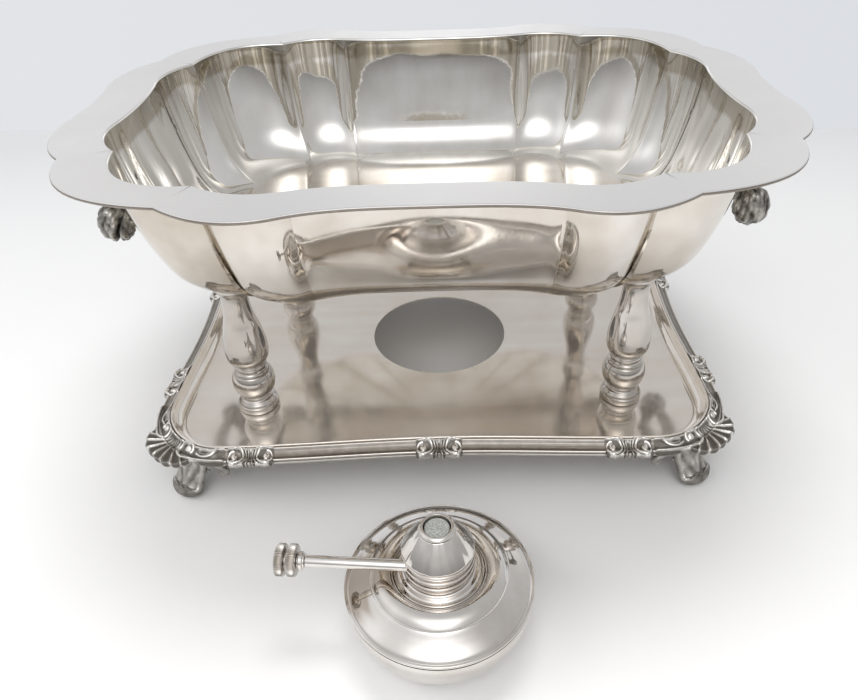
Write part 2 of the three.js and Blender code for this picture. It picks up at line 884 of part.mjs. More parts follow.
function neckRing() {
  const flange = neckRadius + neckFlange / 2;
  const step = collarFoot - fitGap;
  return turned([
    [neckBore, neckFoot],
    [flange, neckFoot],
    [flange, step],
    [neckRadius, step],
    [neckRadius, neckTop],
    [neckBore, neckTop],
  ], collarSides);
}

// Burner head: ringed collar, cone and lipped wick tube
function regulatorBore(radius) {
  const length = 2 * collarRadius;
  const geometry = new THREE.CylinderGeometry(radius, radius, length, smallSides);
  geometry.rotateZ(Math.PI / 2);
  geometry.translate(-collarRadius, regulatorOffset, regulatorHeight);
  return faceOut(mergedPositions(geometry));
}

function screwCollar() {
  const bore = clearBore(neckRadius + neckFlange / 2 + fitGap, collarSides);
  const ringRise = (collarTop - collarFoot) / collarRings;
  const profile = [[bore, collarFoot]];
  for (let ring = 0; ring < collarRings; ring += 1) {
    const foot = collarFoot + ring * ringRise;
    profile.push([collarRadius - collarGroove, foot]);
    profile.push([collarRadius, foot + collarGroove]);
    profile.push([collarRadius, foot + ringRise - collarGroove]);
  }
  profile.push([collarRadius - collarGroove, collarTop]);
  profile.push([bore, collarTop]);
  const hole = regulatorBore(clearBore(regulatorTubeRadius + fitGap, smallSides));
  return cutBy(turned(profile, collarSides), [hole]);
}

function burnerCone() {
  const foot = collarTop + fitGap;
  const bore = clearBore(wickTubeBore + wickTubeWall + fitGap, collarSides);
  return turned([
    [collarRadius - coneWall, foot],
    [collarRadius, foot],
    [collarRadius, foot + coneWall],
    [coneTopRadius, coneTop],
    [bore, coneTop],
    [bore, coneTop - coneWall],
    [coneTopRadius - coneWall / 2, coneTop - coneWall],
  ], collarSides);
}

function wickTube() {
  const foot = coneTop + fitGap + lipHeight - wickTubeRise;
  const lipFoot = coneTop + fitGap;
  const tubeRadius = wickTubeBore + wickTubeWall;
  return turned([
    [wickTubeBore, foot],
    [tubeRadius, foot],
    [tubeRadius, lipFoot],
    [lipRadius, lipFoot],
    [lipRadius, lipFoot + lipHeight / 2],
    [tubeRadius, lipFoot + lipHeight],
    [wickTubeBore, lipFoot + lipHeight],
  ], collarSides);
}

// Wick, its toothed carrier, and the pinion that raises both
function wickBody() {
  const headFoot = wickTop - wickHeadRise;
  return turned([
    [0, wickFoot],
    [wickStemRadius, wickFoot],
    [wickStemRadius, headFoot],
    [wickHeadRadius, headFoot + wickHeadRadius - wickStemRadius],
    [wickHeadRadius, wickTop - toothDepth],
    [wickHeadRadius - toothDepth, wickTop],
    [0, wickTop],
  ], smallSides);
}

const carrierBore = clearBore(wickStemRadius, smallSides) + fitGap;
const carrierRadius = carrierBore + carrierWall;
const regulatorOffset = -(carrierRadius + fitGap + pinionRadius + toothDepth);

function wickCarrier() {
  return ringBody(carrierBore, carrierRadius, carrierFoot, carrierTop, smallSides);
}

function toothedDisc(radius, depth, teeth, length) {
  const corners = [];
  for (let step = 0; step < 2 * teeth; step += 1) {
    const angle = (Math.PI * step) / teeth;
    const out = step % 2 === 0 ? radius + depth : radius - depth;
    corners.push(new THREE.Vector2(out * Math.cos(angle), out * Math.sin(angle)));
  }
  return boredPlate(corners, shaftRadius + fitGap, length);
}

// Lays a piece made along +Z down along -X, at the regulator's height and offset
function layOnRegulator(geometry, start) {
  geometry.rotateY(-Math.PI / 2);
  geometry.translate(-start, regulatorOffset, regulatorHeight);
  return geometry;
}

const ferruleStart = regulatorTubeEnd + fitGap;
const knobInnerStart = ferruleStart + ferruleLength + fitGap;
const knobOuterStart = knobInnerStart + knobDiscLength + knobHubLength + fitGap;
const shaftEnd = knobOuterStart + knobDiscLength;

function pinion() {
  const body = toothedDisc(pinionRadius, toothDepth, pinionTeeth, pinionLength);
  return layOnRegulator(body, -pinionLength / 2);
}

function regulatorShaft() {
  return layOnRegulator(disc(shaftRadius, 0, shaftEnd + pinionLength / 2, rodSides), -pinionLength / 2);
}

function regulatorTube() {
  const length = regulatorTubeEnd - regulatorTubeStart;
  const bore = clearBore(regulatorTubeRadius - regulatorTubeWall, smallSides);
  return layOnRegulator(ringBody(bore, regulatorTubeRadius, 0, length, smallSides), regulatorTubeStart);
}

function tubeFerrule() {
  const bore = clearBore(shaftRadius + fitGap, smallSides);
  const edge = ferruleRadius - toothDepth;
  const profile = [
    [bore, 0],
    [regulatorTubeRadius + toothDepth, 0],
    [ferruleRadius, ferruleLength / 3],
    [ferruleRadius, ferruleLength - toothDepth],
    [edge, ferruleLength],
    [bore, ferruleLength],
  ];
  return layOnRegulator(turned(profile, smallSides), ferruleStart);
}

function knobDisc(start, hub) {
  const rim = toothedDisc(knobRadius - knurlDepth, knurlDepth, knobKnurls, knobDiscLength);
  if (!hub) {
    return layOnRegulator(rim, start);
  }
  const collar = ringBody(
    clearBore(shaftRadius + fitGap, rodSides),
    knobHubRadius,
    knobDiscLength - knurlDepth,
    knobDiscLength + knobHubLength,
    smallSides,
  );
  return layOnRegulator(joined([rim, collar]), start);
}

// Stand and dish
function stand() {
  const group = new THREE.Group();
  group.add(part("tray_plate", trayPlate(), silver()));
  group.add(part("tray_border", trayBorder(), castSilver()));
  const corners = [[1, 1], [-1, 1], [-1, -1], [1, -1]];
  corners.forEach(([signX, signY], k) => {
    const [x, y] = columnPlaces[k];
    const label = k + 1;
    group.add(part(`corner_shell_${label}`, cornerShell(signX, signY), castSilver()));
    group.add(part(`foot_${label}`, foot(signX, signY), castSilver()));
    const pieces = {
      column_base: part(`column_base_${label}`, columnBase(), silver()),
      column: part(`column_${label}`, columnVase(), silver()),
      tie_rod: part(`tie_rod_${label}`, tieRod(), nickel()),
      tie_nut: part(`tie_nut_${label}`, tieNut(), brass()),
    };
    for (const piece of Object.values(pieces)) {
      piece.position.set(x, y, 0);
      group.add(piece);
    }
    group.add(part(`saddle_boss_${label}`, saddleBoss(x, y), nickel()));
  });
  let label = 1;
  for (const sign of [-1, 1]) {
    for (const along of [-longMountPlace, 0, longMountPlace]) {
      const place = (shift, offset) => longSidePoint(along + shift, offset, sign);
      group.add(part(`scroll_mount_${label}`, scrollMount(place), castSilver()));
      label += 1;
    }
    for (const along of [-shortMountPlace, shortMountPlace]) {
      const place = (shift, offset) => shortSidePoint(along + shift, offset, sign);
      group.add(part(`scroll_mount_${label}`, scrollMount(place), castSilver()));
      label += 1;
    }
  }
  group.add(part("dish_pan", dishPan(), satinSilver()));
  group.add(part("end_handle_left", endHandle(-1), castSilver()));
  group.add(part("end_handle_right", endHandle(1), castSilver()));
  return group;
}

function burner() {
  const group = new THREE.Group();
  group.add(part("reservoir_base", reservoirBase(), silver()));
  group.add(part("reservoir_top", reservoirTop(), silver()));
  group.add(part("neck_ring", neckRing(), brass()));
  group.add(part("screw_collar", screwCollar(), silver()));
  group.add(part("burner_cone", burnerCone(), silver()));
  group.add(part("wick_tube", wickTube(), silver()));
  group.add(part("wick", wickBody(), cotton()));
  group.add(part("wick_carrier", wickCarrier(), brass()));
  group.add(part("pinion", pinion(), brass()));
  group.add(part("regulator_shaft", regulatorShaft(), nickel()));
  group.add(part("regulator_tube", regulatorTube(), silver()));
  group.add(part("tube_ferrule", tubeFerrule(), silver()));
  group.add(part("knob_inner", knobDisc(knobInnerStart, true), silver()));
  group.add(part("knob_outer", knobDisc(knobOuterStart, false), silver()));
  group.position.y = -burnerDistance;
  group.rotation.z = THREE.MathUtils.degToRad(burnerTurn);
  return group;
}

// The set, with its origin under the middle of its whole footprint
const set = new THREE.Group();
set.add(stand(), burner());
const footprint = new THREE.Box3().setFromObject(set, true);
const middle = footprint.getCenter(new THREE.Vector3());
set.position.set(-middle.x, -middle.y, -footprint.min.z);

export default set;
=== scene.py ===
# %% [markdown]
# # A silver-plated serving dish on its stand, with a spirit burner
# The set is an open lobed dish with a flat flange, carried by four baluster columns on a footed tray.
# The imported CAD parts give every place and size. This script dresses them: it makes finer surfaces
# where the CAD is faceted, and gives each finish the marks of real plate.

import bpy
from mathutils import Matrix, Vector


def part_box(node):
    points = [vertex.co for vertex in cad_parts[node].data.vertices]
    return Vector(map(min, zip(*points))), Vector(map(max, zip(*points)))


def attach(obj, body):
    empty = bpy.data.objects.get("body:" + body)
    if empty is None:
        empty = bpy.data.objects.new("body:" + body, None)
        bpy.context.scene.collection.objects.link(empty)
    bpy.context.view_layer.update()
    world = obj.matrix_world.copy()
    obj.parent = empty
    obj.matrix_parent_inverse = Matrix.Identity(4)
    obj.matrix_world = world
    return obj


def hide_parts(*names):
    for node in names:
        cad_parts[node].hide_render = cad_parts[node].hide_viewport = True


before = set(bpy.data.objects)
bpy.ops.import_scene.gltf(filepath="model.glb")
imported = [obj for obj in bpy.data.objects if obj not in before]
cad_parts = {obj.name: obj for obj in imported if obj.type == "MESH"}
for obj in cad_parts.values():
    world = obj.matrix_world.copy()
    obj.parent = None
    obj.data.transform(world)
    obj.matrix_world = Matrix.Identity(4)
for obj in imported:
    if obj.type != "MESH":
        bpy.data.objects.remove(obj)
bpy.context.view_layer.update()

import bpy
import numpy as np
from mathutils import Matrix, Vector

# %% [markdown]
# ## Units and the two places that everything hangs on
# Shapes are worked out in millimetres and scaled at the end. The stand's middle and the burner's axis
# come from the CAD boxes, so the fine surfaces sit exactly where the CAD says.

# %% Places of the stand and the burner
MM = 0.001
BURNER_TURN = np.radians(-4.8)
# Air left between two parts of the set that lie against each other
CLEARANCE = 0.3


def plan_turn(angle):
    """The matrix that turns plan positions, written as rows, anticlockwise by an angle."""
    return np.array([[np.cos(angle), np.sin(angle)], [-np.sin(angle), np.cos(angle)]])


def middle_of(node):
    """The plan position of the middle of a CAD part's box, in millimetres."""
    low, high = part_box(node)
    return np.array([(low.x + high.x) / 2, (low.y + high.y) / 2]) / MM


stand_middle = middle_of("tray_plate")
burner_middle = middle_of("reservoir_base")


def on_stand(points):
    """Moves points from the stand's own frame into the row frame."""
    return points + np.append(stand_middle, 0.0)


def on_burner(points):
    """Turns points about the burner's axis by its small turn, then moves them there."""
    plan = points[:, :2] @ plan_turn(BURNER_TURN) + burner_middle
    return np.concatenate([plan, points[:, 2:]], 1)


print("stand at", stand_middle, "burner at", burner_middle)

# %% [markdown]
# ## From a grid of points to a piece
# Sheet metal, turnings and castings are all surfaces on a grid: rows of rings, or rows of a relief.
# The faces of a grid follow from counting alone, so numpy makes them at once. The sign of the volume
# that they enclose says whether they face outwards.

# %% Grid helpers
def grid_faces(rows, columns, wrap_rows=False, wrap_columns=True):
    """Quads of a grid of points: each joins a point to the next in its row and in the row after."""
    row = np.arange(rows if wrap_rows else rows - 1)
    column = np.arange(columns if wrap_columns else columns - 1)
    row, column = np.meshgrid(row, column, indexing="ij")
    next_row = (row + 1) % rows
    next_column = (column + 1) % columns
    corners = [
        row * columns + column,
        row * columns + next_column,
        next_row * columns + next_column,
        next_row * columns + column,
    ]
    return np.stack(corners, -1).reshape(-1, 4)


def fan_faces(start, count, hub, flipped):
    """Triangles from a hub point to each side of a ring."""
    here = start + np.arange(count)
    there = start + (np.arange(count) + 1) % count
    ring = (there, here) if flipped else (here, there)
    return np.stack([np.full(count, hub), *ring], -1)


def skin(rings, wrap_rows=False):
    """Skins rings of points; an open stack of rings gets a fan over each end."""
    rows, columns = rings.shape[:2]
    points = rings.reshape(-1, 3)
    quads = grid_faces(rows, columns, wrap_rows)
    triangles = np.zeros((0, 3), int)
    if not wrap_rows:
        hubs = np.stack([rings[0].mean(0), rings[-1].mean(0)])
        count = len(points)
        points = np.concatenate([points, hubs])
        last = (rows - 1) * columns
        triangles = np.concatenate([
            fan_faces(0, columns, count, True),
            fan_faces(last, columns, count + 1, False),
        ])
    return points, quads, triangles


def enclosed_volume(points, quads, triangles):
    """A sixth of the sum of the triple products of every triangle's corners."""
    halves = np.concatenate([quads[:, [0, 1, 2]], quads[:, [0, 2, 3]], triangles])
    a, b, c = (points[halves[:, k]] for k in range(3))
    return np.einsum("ij,ij->i", a, np.cross(b, c)).sum() / 6


def outward(points, quads, triangles):
    """Turns all faces over if the volume that they enclose comes out negative."""
    if enclosed_volume(points, quads, triangles) < 0:
        quads, triangles = quads[:, ::-1], triangles[:, ::-1]
    return points, quads, triangles


# %% Pieces
def piece(name, surface, place, body, slot, materials, replaced, sharp=35, marks=None):
    """Builds one smooth-shaded piece, lets it ride on its body and stand for its CAD part. A mark is
    a number for each point of the surface, which the piece's finish reads; a hub left over gets 1."""
    points, quads, triangles = surface
    points, quads, triangles = outward(place(points), quads, triangles)
    mesh = bpy.data.meshes.new(name)
    mesh.from_pydata((points * MM).tolist(), [], quads.tolist() + triangles.tolist())
    mesh.polygons.foreach_set("use_smooth", np.ones(len(mesh.polygons), bool))
    mesh.set_sharp_from_angle(angle=np.radians(sharp))
    for material in materials:
        mesh.materials.append(material)
    for mark, values in (marks or {}).items():
        attribute = mesh.attributes.new(mark, "FLOAT", "POINT")
        full = np.ones(len(points), np.float32)
        full[:len(values)] = values
        attribute.data.foreach_set("value", full)
    mesh.update()
    obj = bpy.data.objects.new(name, mesh)
    bpy.context.scene.collection.objects.link(obj)
    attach(obj, body)
    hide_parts(*replaced)
    print(f"{name}: {2 * len(quads) + len(triangles)} triangles")
    return obj


def stand_piece(name, surface, slot, material, node, **more):
    """A piece of one finish on the stand, in place of one CAD part."""
    piece(name, surface, on_stand, "stand", slot, [material], [node], **more)


def burner_piece(name, surface, body, material, node, **more):
    """A piece of one plated finish on one of the burner's bodies, in place of one CAD part."""
    piece(name, surface, on_burner, body, "silver_plate", [material], [node], **more)


# %% [markdown]
# ## Curves for profiles
# A spun or cast outline is drawn as a few stops with a smooth curve through them; a machined one as
# straight lines whose corners are eased by a small curve, as a polishing wheel leaves them.

# %% Profile curves
def flowing(stops, steps):
    """A smooth curve through the stops: each stretch is a cubic whose end slopes are half the chord
    between the stops on either side."""
    stops = np.asarray(stops, float)
    before = 2 * stops[:1] - stops[1:2]
    after = 2 * stops[-1:] - stops[-2:-1]
    all_stops = np.concatenate([before, stops, after])
    a, b, c, d = (all_stops[k:len(all_stops) - 3 + k, None] for k in range(4))
    t = np.linspace(0, 1, steps, endpoint=False)[None, :, None]
    curve = b + 0.5 * t * (c - a + t * (2 * a - 5 * b + 4 * c - d + t * (3 * (b - c) + d - a)))
    return np.concatenate([curve.reshape(-1, stops.shape[1]), stops[-1:]])


def eased(corners, radius, steps):
    """A closed outline of straight lines, with a small parabola in place of each corner. It starts and
    ends at most a radius away, and never past the middle of a line."""
    corners = np.asarray(corners, float)
    before = np.roll(corners, 1, 0)
    after = np.roll(corners, -1, 0)

    def towards(other):
        gap = other - corners
        length = np.linalg.norm(gap, axis=1, keepdims=True)
        return corners + gap * np.minimum(radius / np.maximum(length, 1e-9), 0.45)

    t = np.linspace(0, 1, steps + 1)[None, :, None]
    start, end = towards(before)[:, None], towards(after)[:, None]
    curve = (1 - t) ** 2 * start + 2 * t * (1 - t) * corners[:, None] + t ** 2 * end
    return curve.reshape(-1, 2)


def turned(profile, sides):
    """A profile of (radius, height) carried round the Z axis. One that starts on the axis is capped
    there; one that stays off it closes on itself."""
    profile = np.asarray(profile, float)
    on_axis = profile[0, 0] < 1e-6
    ring = profile[1:-1] if on_axis else profile
    angle = np.linspace(0, 2 * np.pi, sides, endpoint=False)
    radius, height = ring[:, :1], ring[:, 1:]
    rings = np.stack([radius * np.cos(angle), radius * np.sin(angle), height + 0 * angle], -1)
    return skin(rings, wrap_rows=not on_axis)


# %% [markdown]
# ## Finishes
# Silver plate is a mirror that has been handled: it is warm grey, with faint clouds where it has
# tarnished, fine hairlines from wiping, and a haze that softens what it reflects. The castings keep a
# dark patina in their recesses, because a polishing cloth only reaches what stands proud. A picture
# laid over the metal could show all this, but would bring its own reflections along. So each finish
# is made from noise, and from marks that the pieces carry on their points.

# %% Material helpers
def new_material(name):
    """A node material with its shader and its Object coordinates."""
    material = bpy.data.materials.new(name)
    material.use_nodes = True
    tree = material.node_tree
    shader = tree.nodes["Principled BSDF"]
    coordinates = tree.nodes.new("ShaderNodeTexCoord")
    return material, tree, shader, coordinates.outputs["Object"]


def link(tree, output, target):
    """Joins a node's output to an input."""
    tree.links.new(output, target)


def noise(tree, vector, scale, detail, stretch=(1, 1, 1)):
    """Clouds, as many to a metre as the scale says. A stretch below 1 draws them out on its axis."""
    mapping = tree.nodes.new("ShaderNodeMapping")
    mapping.inputs["Scale"].default_value = stretch
    link(tree, vector, mapping.inputs["Vector"])
    texture = tree.nodes.new("ShaderNodeTexNoise")
    texture.inputs["Scale"].default_value = scale
    texture.inputs["Detail"].default_value = detail
    link(tree, mapping.outputs["Vector"], texture.inputs["Vector"])
    return texture.outputs["Fac"]


def remap(tree, value, low, high, start=0.35, end=0.65):
    """Stretches a value between two limits onto a new range, clamped."""
    node = tree.nodes.new("ShaderNodeMapRange")
    node.inputs["From Min"].default_value = start
    node.inputs["From Max"].default_value = end
    node.inputs["To Min"].default_value = low
    node.inputs["To Max"].default_value = high
    link(tree, value, node.inputs["Value"])
    return node.outputs["Result"]


def blend_colors(tree, share, first, second):
    """Mixes two colours by a share; either may be a socket."""
    node = tree.nodes.new("ShaderNodeMix")
    node.data_type = "RGBA"
    link(tree, share, node.inputs["Factor"])
    for value, socket in ((first, node.inputs["A"]), (second, node.inputs["B"])):
        if isinstance(value, tuple):
            socket.default_value = (*value, 1.0)
        else:
            link(tree, value, socket)
    return node.outputs["Result"]


def along_axis(tree, vector, axis, start, end):
    """How far a place or a direction lies between two limits on an axis, from 0 to 1."""
    split = tree.nodes.new("ShaderNodeSeparateXYZ")
    link(tree, vector, split.inputs["Vector"])
    return remap(tree, split.outputs[axis], 0.0, 1.0, start, end)


def mark_of(tree, name):
    """The mark of that name which a piece carries on its points."""
    mark = tree.nodes.new("ShaderNodeAttribute")
    mark.attribute_name = name
    return mark.outputs["Fac"]


def combine(tree, operation, first, second):
    """Arithmetic on two values, the second of which may be a number."""
    node = tree.nodes.new("ShaderNodeMath")
    node.operation = operation
    link(tree, first, node.inputs[0])
    if isinstance(second, float):
        node.inputs[1].default_value = second
    else:
        link(tree, second, node.inputs[1])
    return node.outputs["Value"]


def add_bump(tree, shader, height, strength, distance):
    """Lets a height in units of the distance, in metres, tilt the surface's normal."""
    bump = tree.nodes.new("ShaderNodeBump")
    bump.inputs["Strength"].default_value = strength
    bump.inputs["Distance"].default_value = distance
    link(tree, height, bump.inputs["Height"])
    link(tree, bump.outputs["Normal"], shader.inputs["Normal"])


# %% Plated finishes
# How many of each mark there are to a metre
CLOUD_SCALE = 16.0
SMEAR_SCALE = 70.0
WIPE_SCALE = 60.0
HAIRLINE_SCALE = 500.0
WAVE_SCALE = 28.0
RELIEF = 0.0004


def plate(
    name, bright, tarnish, roughness, haze, hairlines, ripple,
    stretch=(1, 1, 1), metal=1.0, cloudiness=0.7,
):
    """Silver plate: wide tarnish clouds in its colour, wiping marks in its gloss and hairlines in its
    relief. The stretch draws the marks out along the way that it was wiped. A film of tarnish takes
    away from the metal's share, which veils what the surface reflects, and a mark called sunk adds to
    the tarnish colour in grooves. Some pieces also use that mark for painted shade and painted
    reflections, besides real tarnish and stains."""
    material, tree, shader, vector = new_material(name)
    shader.inputs["Metallic"].default_value = metal
    clouds = remap(tree, noise(tree, vector, CLOUD_SCALE, 4.0), 0.0, cloudiness, 0.3, 0.7)
    smears = remap(tree, noise(tree, vector, SMEAR_SCALE, 5.0, stretch), 0.0, 0.3, 0.3, 0.75)
    share = combine(tree, "ADD", combine(tree, "ADD", clouds, smears), mark_of(tree, "sunk"))
    link(tree, blend_colors(tree, share, bright, tarnish), shader.inputs["Base Color"])
    wiped = noise(tree, vector, WIPE_SCALE, 4.0, stretch)
    gloss = remap(tree, wiped, roughness, roughness + haze, 0.3, 0.7)
    link(tree, gloss, shader.inputs["Roughness"])
    lines = combine(tree, "MULTIPLY", noise(tree, vector, HAIRLINE_SCALE, 3.0, stretch), hairlines)
    waves = combine(tree, "MULTIPLY", noise(tree, vector, WAVE_SCALE, 1.0), ripple)
    add_bump(tree, shader, combine(tree, "ADD", lines, waves), 1.0, RELIEF)
    return material


silver_polished = plate(
    "polished_plate", (0.93, 0.92, 0.90), (0.56, 0.52, 0.45), roughness=0.02, haze=0.04,
    hairlines=0.04, ripple=0.9, stretch=(1.0, 1.0, 0.15), cloudiness=0.3,
)
silver_outside = plate(
    "cloudy_plate", (0.88, 0.85, 0.81), (0.50, 0.44, 0.36), roughness=0.03, haze=0.06,
    hairlines=0.015, ripple=0.3, metal=0.93,
)
silver_satin = plate(
    "satin_plate", (0.94, 0.93, 0.92), (0.91, 0.895, 0.88), roughness=0.27, haze=0.06,
    hairlines=0.01, ripple=0.02,
)
# The flange's rounded lip is dark with painted shade, for the thin shadow line under its edge
silver_shaded_edge = plate(
    "shaded_edge_plate", (0.40, 0.37, 0.33), (0.22, 0.19, 0.16), roughness=0.35, haze=0.1,
    hairlines=0.1, ripple=0.05,
)
silver_tray = plate(
    "hazed_plate", (0.95, 0.915, 0.865), (0.78, 0.71, 0.63), roughness=0.05, haze=0.07,
    hairlines=0.012, ripple=0.12, stretch=(0.15, 1.5, 1.0), metal=0.80,
)
silver_worn = plate(
    "worn_plate", (0.70, 0.67, 0.635), (0.38, 0.345, 0.30), roughness=0.045, haze=0.08,
    hairlines=0.05, ripple=0.3, metal=0.90,
)
silver_burner = plate(
    "burner_plate", (0.92, 0.905, 0.885), (0.50, 0.44, 0.38), roughness=0.03, haze=0.05,
    hairlines=0.012, ripple=0.12, cloudiness=0.45,
)
print("finishes so far:", [material.name for material in bpy.data.materials])


# %% Cast finish with patina in the recesses
GRIME_SCALE = 260.0
GRAIN_SCALE = 700.0


def patinated(name, bright, dark, roughness, grime_depth=0.2):
    """Cast plate: bright where the relief stands proud, dark and dull where it is sunk. The mark
    called height runs from 0 in the deepest recess to 1 on the ridges, and fine grime shifts it."""
    material, tree, shader, vector = new_material(name)
    shader.inputs["Metallic"].default_value = 1.0
    tone_shift = remap(tree, noise(tree, vector, GRIME_SCALE, 5.0), -grime_depth, grime_depth, 0.3, 0.7)
    proud = combine(tree, "ADD", mark_of(tree, "height"), tone_shift)
    share = remap(tree, proud, 0.0, 1.0, 0.2, 0.95)
    link(tree, blend_colors(tree, share, dark, bright), shader.inputs["Base Color"])
    link(tree, remap(tree, share, roughness + 0.3, roughness, 0.0, 1.0), shader.inputs["Roughness"])
    add_bump(tree, shader, noise(tree, vector, GRAIN_SCALE, 4.0), 0.35, 0.00015)
    return material


cast_border = patinated(
    "cast_border_plate", (0.78, 0.745, 0.70), (0.26, 0.235, 0.205), 0.15, grime_depth=0.06,
)
cast_ornament = patinated(
    "cast_ornament_plate", (0.86, 0.83, 0.79), (0.17, 0.155, 0.135), 0.16, grime_depth=0.12,
)
cast_foot = patinated("cast_foot_plate", (0.54, 0.52, 0.49), (0.19, 0.178, 0.158), 0.24)
cast_dark = patinated("cast_dark_plate", (0.54, 0.52, 0.48), (0.07, 0.066, 0.058), 0.24)


# %% Plain metals and the wick
def plain_metal(name, bright, dull, roughness):
    """A plain metal: faint clouds in its colour and gloss, and a fine grain."""
    material, tree, shader, vector = new_material(name)
    shader.inputs["Metallic"].default_value = 1.0
    clouds = remap(tree, noise(tree, vector, 90.0, 4.0), 0.0, 1.0)
    link(tree, blend_colors(tree, clouds, bright, dull), shader.inputs["Base Color"])
    link(tree, remap(tree, clouds, roughness, roughness + 0.15, 0.0, 1.0), shader.inputs["Roughness"])
    add_bump(tree, shader, noise(tree, vector, 800.0, 3.0), 0.2, 0.0001)
    return material


def cotton(name, light, dark):
    """Packed wick ends: short tufts of two greys, matt all over."""
    material, tree, shader, vector = new_material(name)
    tufts = noise(tree, vector, 1500.0, 5.0)
    colour = blend_colors(tree, remap(tree, tufts, 0.0, 1.0), dark, light)
    link(tree, colour, shader.inputs["Base Color"])
    shader.inputs["Roughness"].default_value = 0.9
    add_bump(tree, shader, tufts, 0.8, 0.0006)
    return material


nickel = plain_metal("nickel_plate", (0.74, 0.73, 0.70), (0.60, 0.58, 0.54), 0.16)
brass = plain_metal("turned_brass", (0.72, 0.58, 0.32), (0.48, 0.36, 0.18), 0.25)
wick_cotton = cotton("wick_cotton", (0.50, 0.51, 0.48), (0.24, 0.245, 0.23))

# %% [markdown]
# ## The dish
# The dish is one sheet, raised and planished: sixteen lobes run from a flat flange down a steep wall,
# which rounds in to a flat floor, with a ridge inside and a groove outside between each two. It is a
# stack of rings. Each ring is a mix of the wall's and the floor's lobed outlines, and a chain of arcs
# gives the share of each on the way down. A mesh of rings keeps every lobe's edge sharp and even.

# %% Lobed outlines
TRAY_TOP = 25.0
DISH_TOP = 176.1
DISH_DEPTH = 69.0
DISH_WALL = 1.4
FLANGE_THICKNESS = 1.6
LOBES = 16
# The wide lobes in the middle of the front and the back
MIDDLE_LOBES = [3, 11]
MIDDLE_FLATNESS = 3.6
LOBE_STEPS = 28
ACROSS_LOBE = 0.5 - 0.5 * np.cos(np.pi * np.arange(LOBE_STEPS) / LOBE_STEPS)

WALL_HALF = np.array([150.5, 114.5])
FLANGE_HALF = WALL_HALF + np.array([26.5, 24.0])
FLOOR_HALF = np.array([117.0, 80.0])

FLANGE_SHARES = [
    [0.986, 0], [1, 0.206], [0.983, 0.397], [0.915, 0.537], [0.819, 0.787],
    [0.588, 0.904], [0.452, 1], [0.316, 0.985], [0, 0.939],
]
WALL_SHARES = [
    [0.987, 0], [1, 0.249], [0.997, 0.427], [0.93, 0.578], [0.837, 0.849],
    [0.625, 0.924], [0.505, 1], [0.372, 0.991], [0, 0.953],
]
FLOOR_SHARES = [
    [0.979, 0], [0.991, 0.252], [1, 0.415], [0.923, 0.553], [0.838, 0.805],
    [0.667, 0.918], [0.564, 1], [0.427, 0.975], [0, 0.86],
]


def lobed_outline(shares, half):
    """A parabola from crease to crease through each lobe's middle; the quarter is mirrored four ways.
    The wide front and back lobes are flatter in the middle and bend more towards their creases."""
    quarter = np.asarray(shares) * half
    stops = np.concatenate([
        quarter,
        quarter[-2::-1] * [-1, 1],
        quarter[1:] * [-1, -1],
        quarter[-2:0:-1] * [1, -1],
    ])
    start, middle, end = (np.roll(stops, -k, 0)[1::2, None] for k in range(3))
    control = 2 * middle - 0.5 * (start + end)
    share = ACROSS_LOBE[None, :, None]
    curve = (1 - share) ** 2 * start + 2 * share * (1 - share) * control + share ** 2 * end
    straight = start + (end - start) * share
    flatter = middle + (start - middle) * np.abs(2 * share - 1) ** MIDDLE_FLATNESS
    curve[MIDDLE_LOBES, :, 0] = straight[MIDDLE_LOBES, :, 0]
    curve[MIDDLE_LOBES, :, 1] = flatter[MIDDLE_LOBES, :, 1]
    return curve.reshape(-1, 2)


def normals_of(outline):
    """Outward normals of an anticlockwise outline: its direction turned by a quarter to the right."""
    along = np.roll(outline, -1, -2) - np.roll(outline, 1, -2)
    normal = np.stack([along[..., 1], -along[..., 0]], -1)
    return normal / np.linalg.norm(normal, axis=-1, keepdims=True)


flange_outline = lobed_outline(FLANGE_SHARES, FLANGE_HALF)
wall_outline = lobed_outline(WALL_SHARES, WALL_HALF)
floor_outline = lobed_outline(FLOOR_SHARES, FLOOR_HALF)
print("dish outline points:", len(wall_outline))


# %% The wall's section
# Share of the depth and the wall's lean there, in degrees
WALL_LEANS = [[0.0, 4.0], [0.725, 20.8], [1.0, 90.0]]
MIDDLE_LEANS = [[0.0, 3.2], [0.30, 9.6], [0.75, 12.0], [1.0, 90.0]]
ARC_STEPS = 160
WALL_RINGS = 46


def wall_section(leans):
    """A chain of arcs, each from one lean to the next: down by the difference of the sines and inwards
    by that of the cosines. Gives the share of the way to the floor's outline and that of the depth."""
    inward, down = [np.zeros(1)], [np.zeros(1)]
    for (start, from_lean), (end, to_lean) in zip(leans[:-1], leans[1:]):
        lean = np.radians(np.linspace(from_lean, to_lean, ARC_STEPS)[1:])
        first = np.radians(from_lean)
        radius = (end - start) / (np.sin(lean[-1]) - np.sin(first))
        down.append(start + radius * (np.sin(lean) - np.sin(first)))
        inward.append(inward[-1][-1] + radius * (np.cos(first) - np.cos(lean)))
    inward, down = np.concatenate(inward), np.concatenate(down)
    return inward / inward[-1], down


def ring_shares(first):
    """Evenly spaced steps down the wall, and how far inwards each point of each ring then lies. The
    wide front and back lobes hang straighter, most of all in their middle."""
    inward, down = wall_section(WALL_LEANS)
    length = np.concatenate([[0], np.cumsum(np.hypot(np.diff(down), np.diff(inward)))])
    at = np.linspace(np.interp(first, down, length), length[-1], WALL_RINGS)
    down_at = np.interp(at, length, down)
    plain = np.interp(at, length, inward)
    middle_inward, middle_down = wall_section(MIDDLE_LEANS)
    straighter = np.interp(down_at, middle_down, middle_inward)
    weight = np.zeros((LOBES, LOBE_STEPS))
    weight[MIDDLE_LOBES] = 1 - np.abs(2 * ACROSS_LOBE - 1) ** MIDDLE_FLATNESS
    return plain[:, None] + (straighter - plain)[:, None] * weight.ravel(), down_at[:, None]


# %% Creases between the lobes
CREASE_DEPTH = 2.1
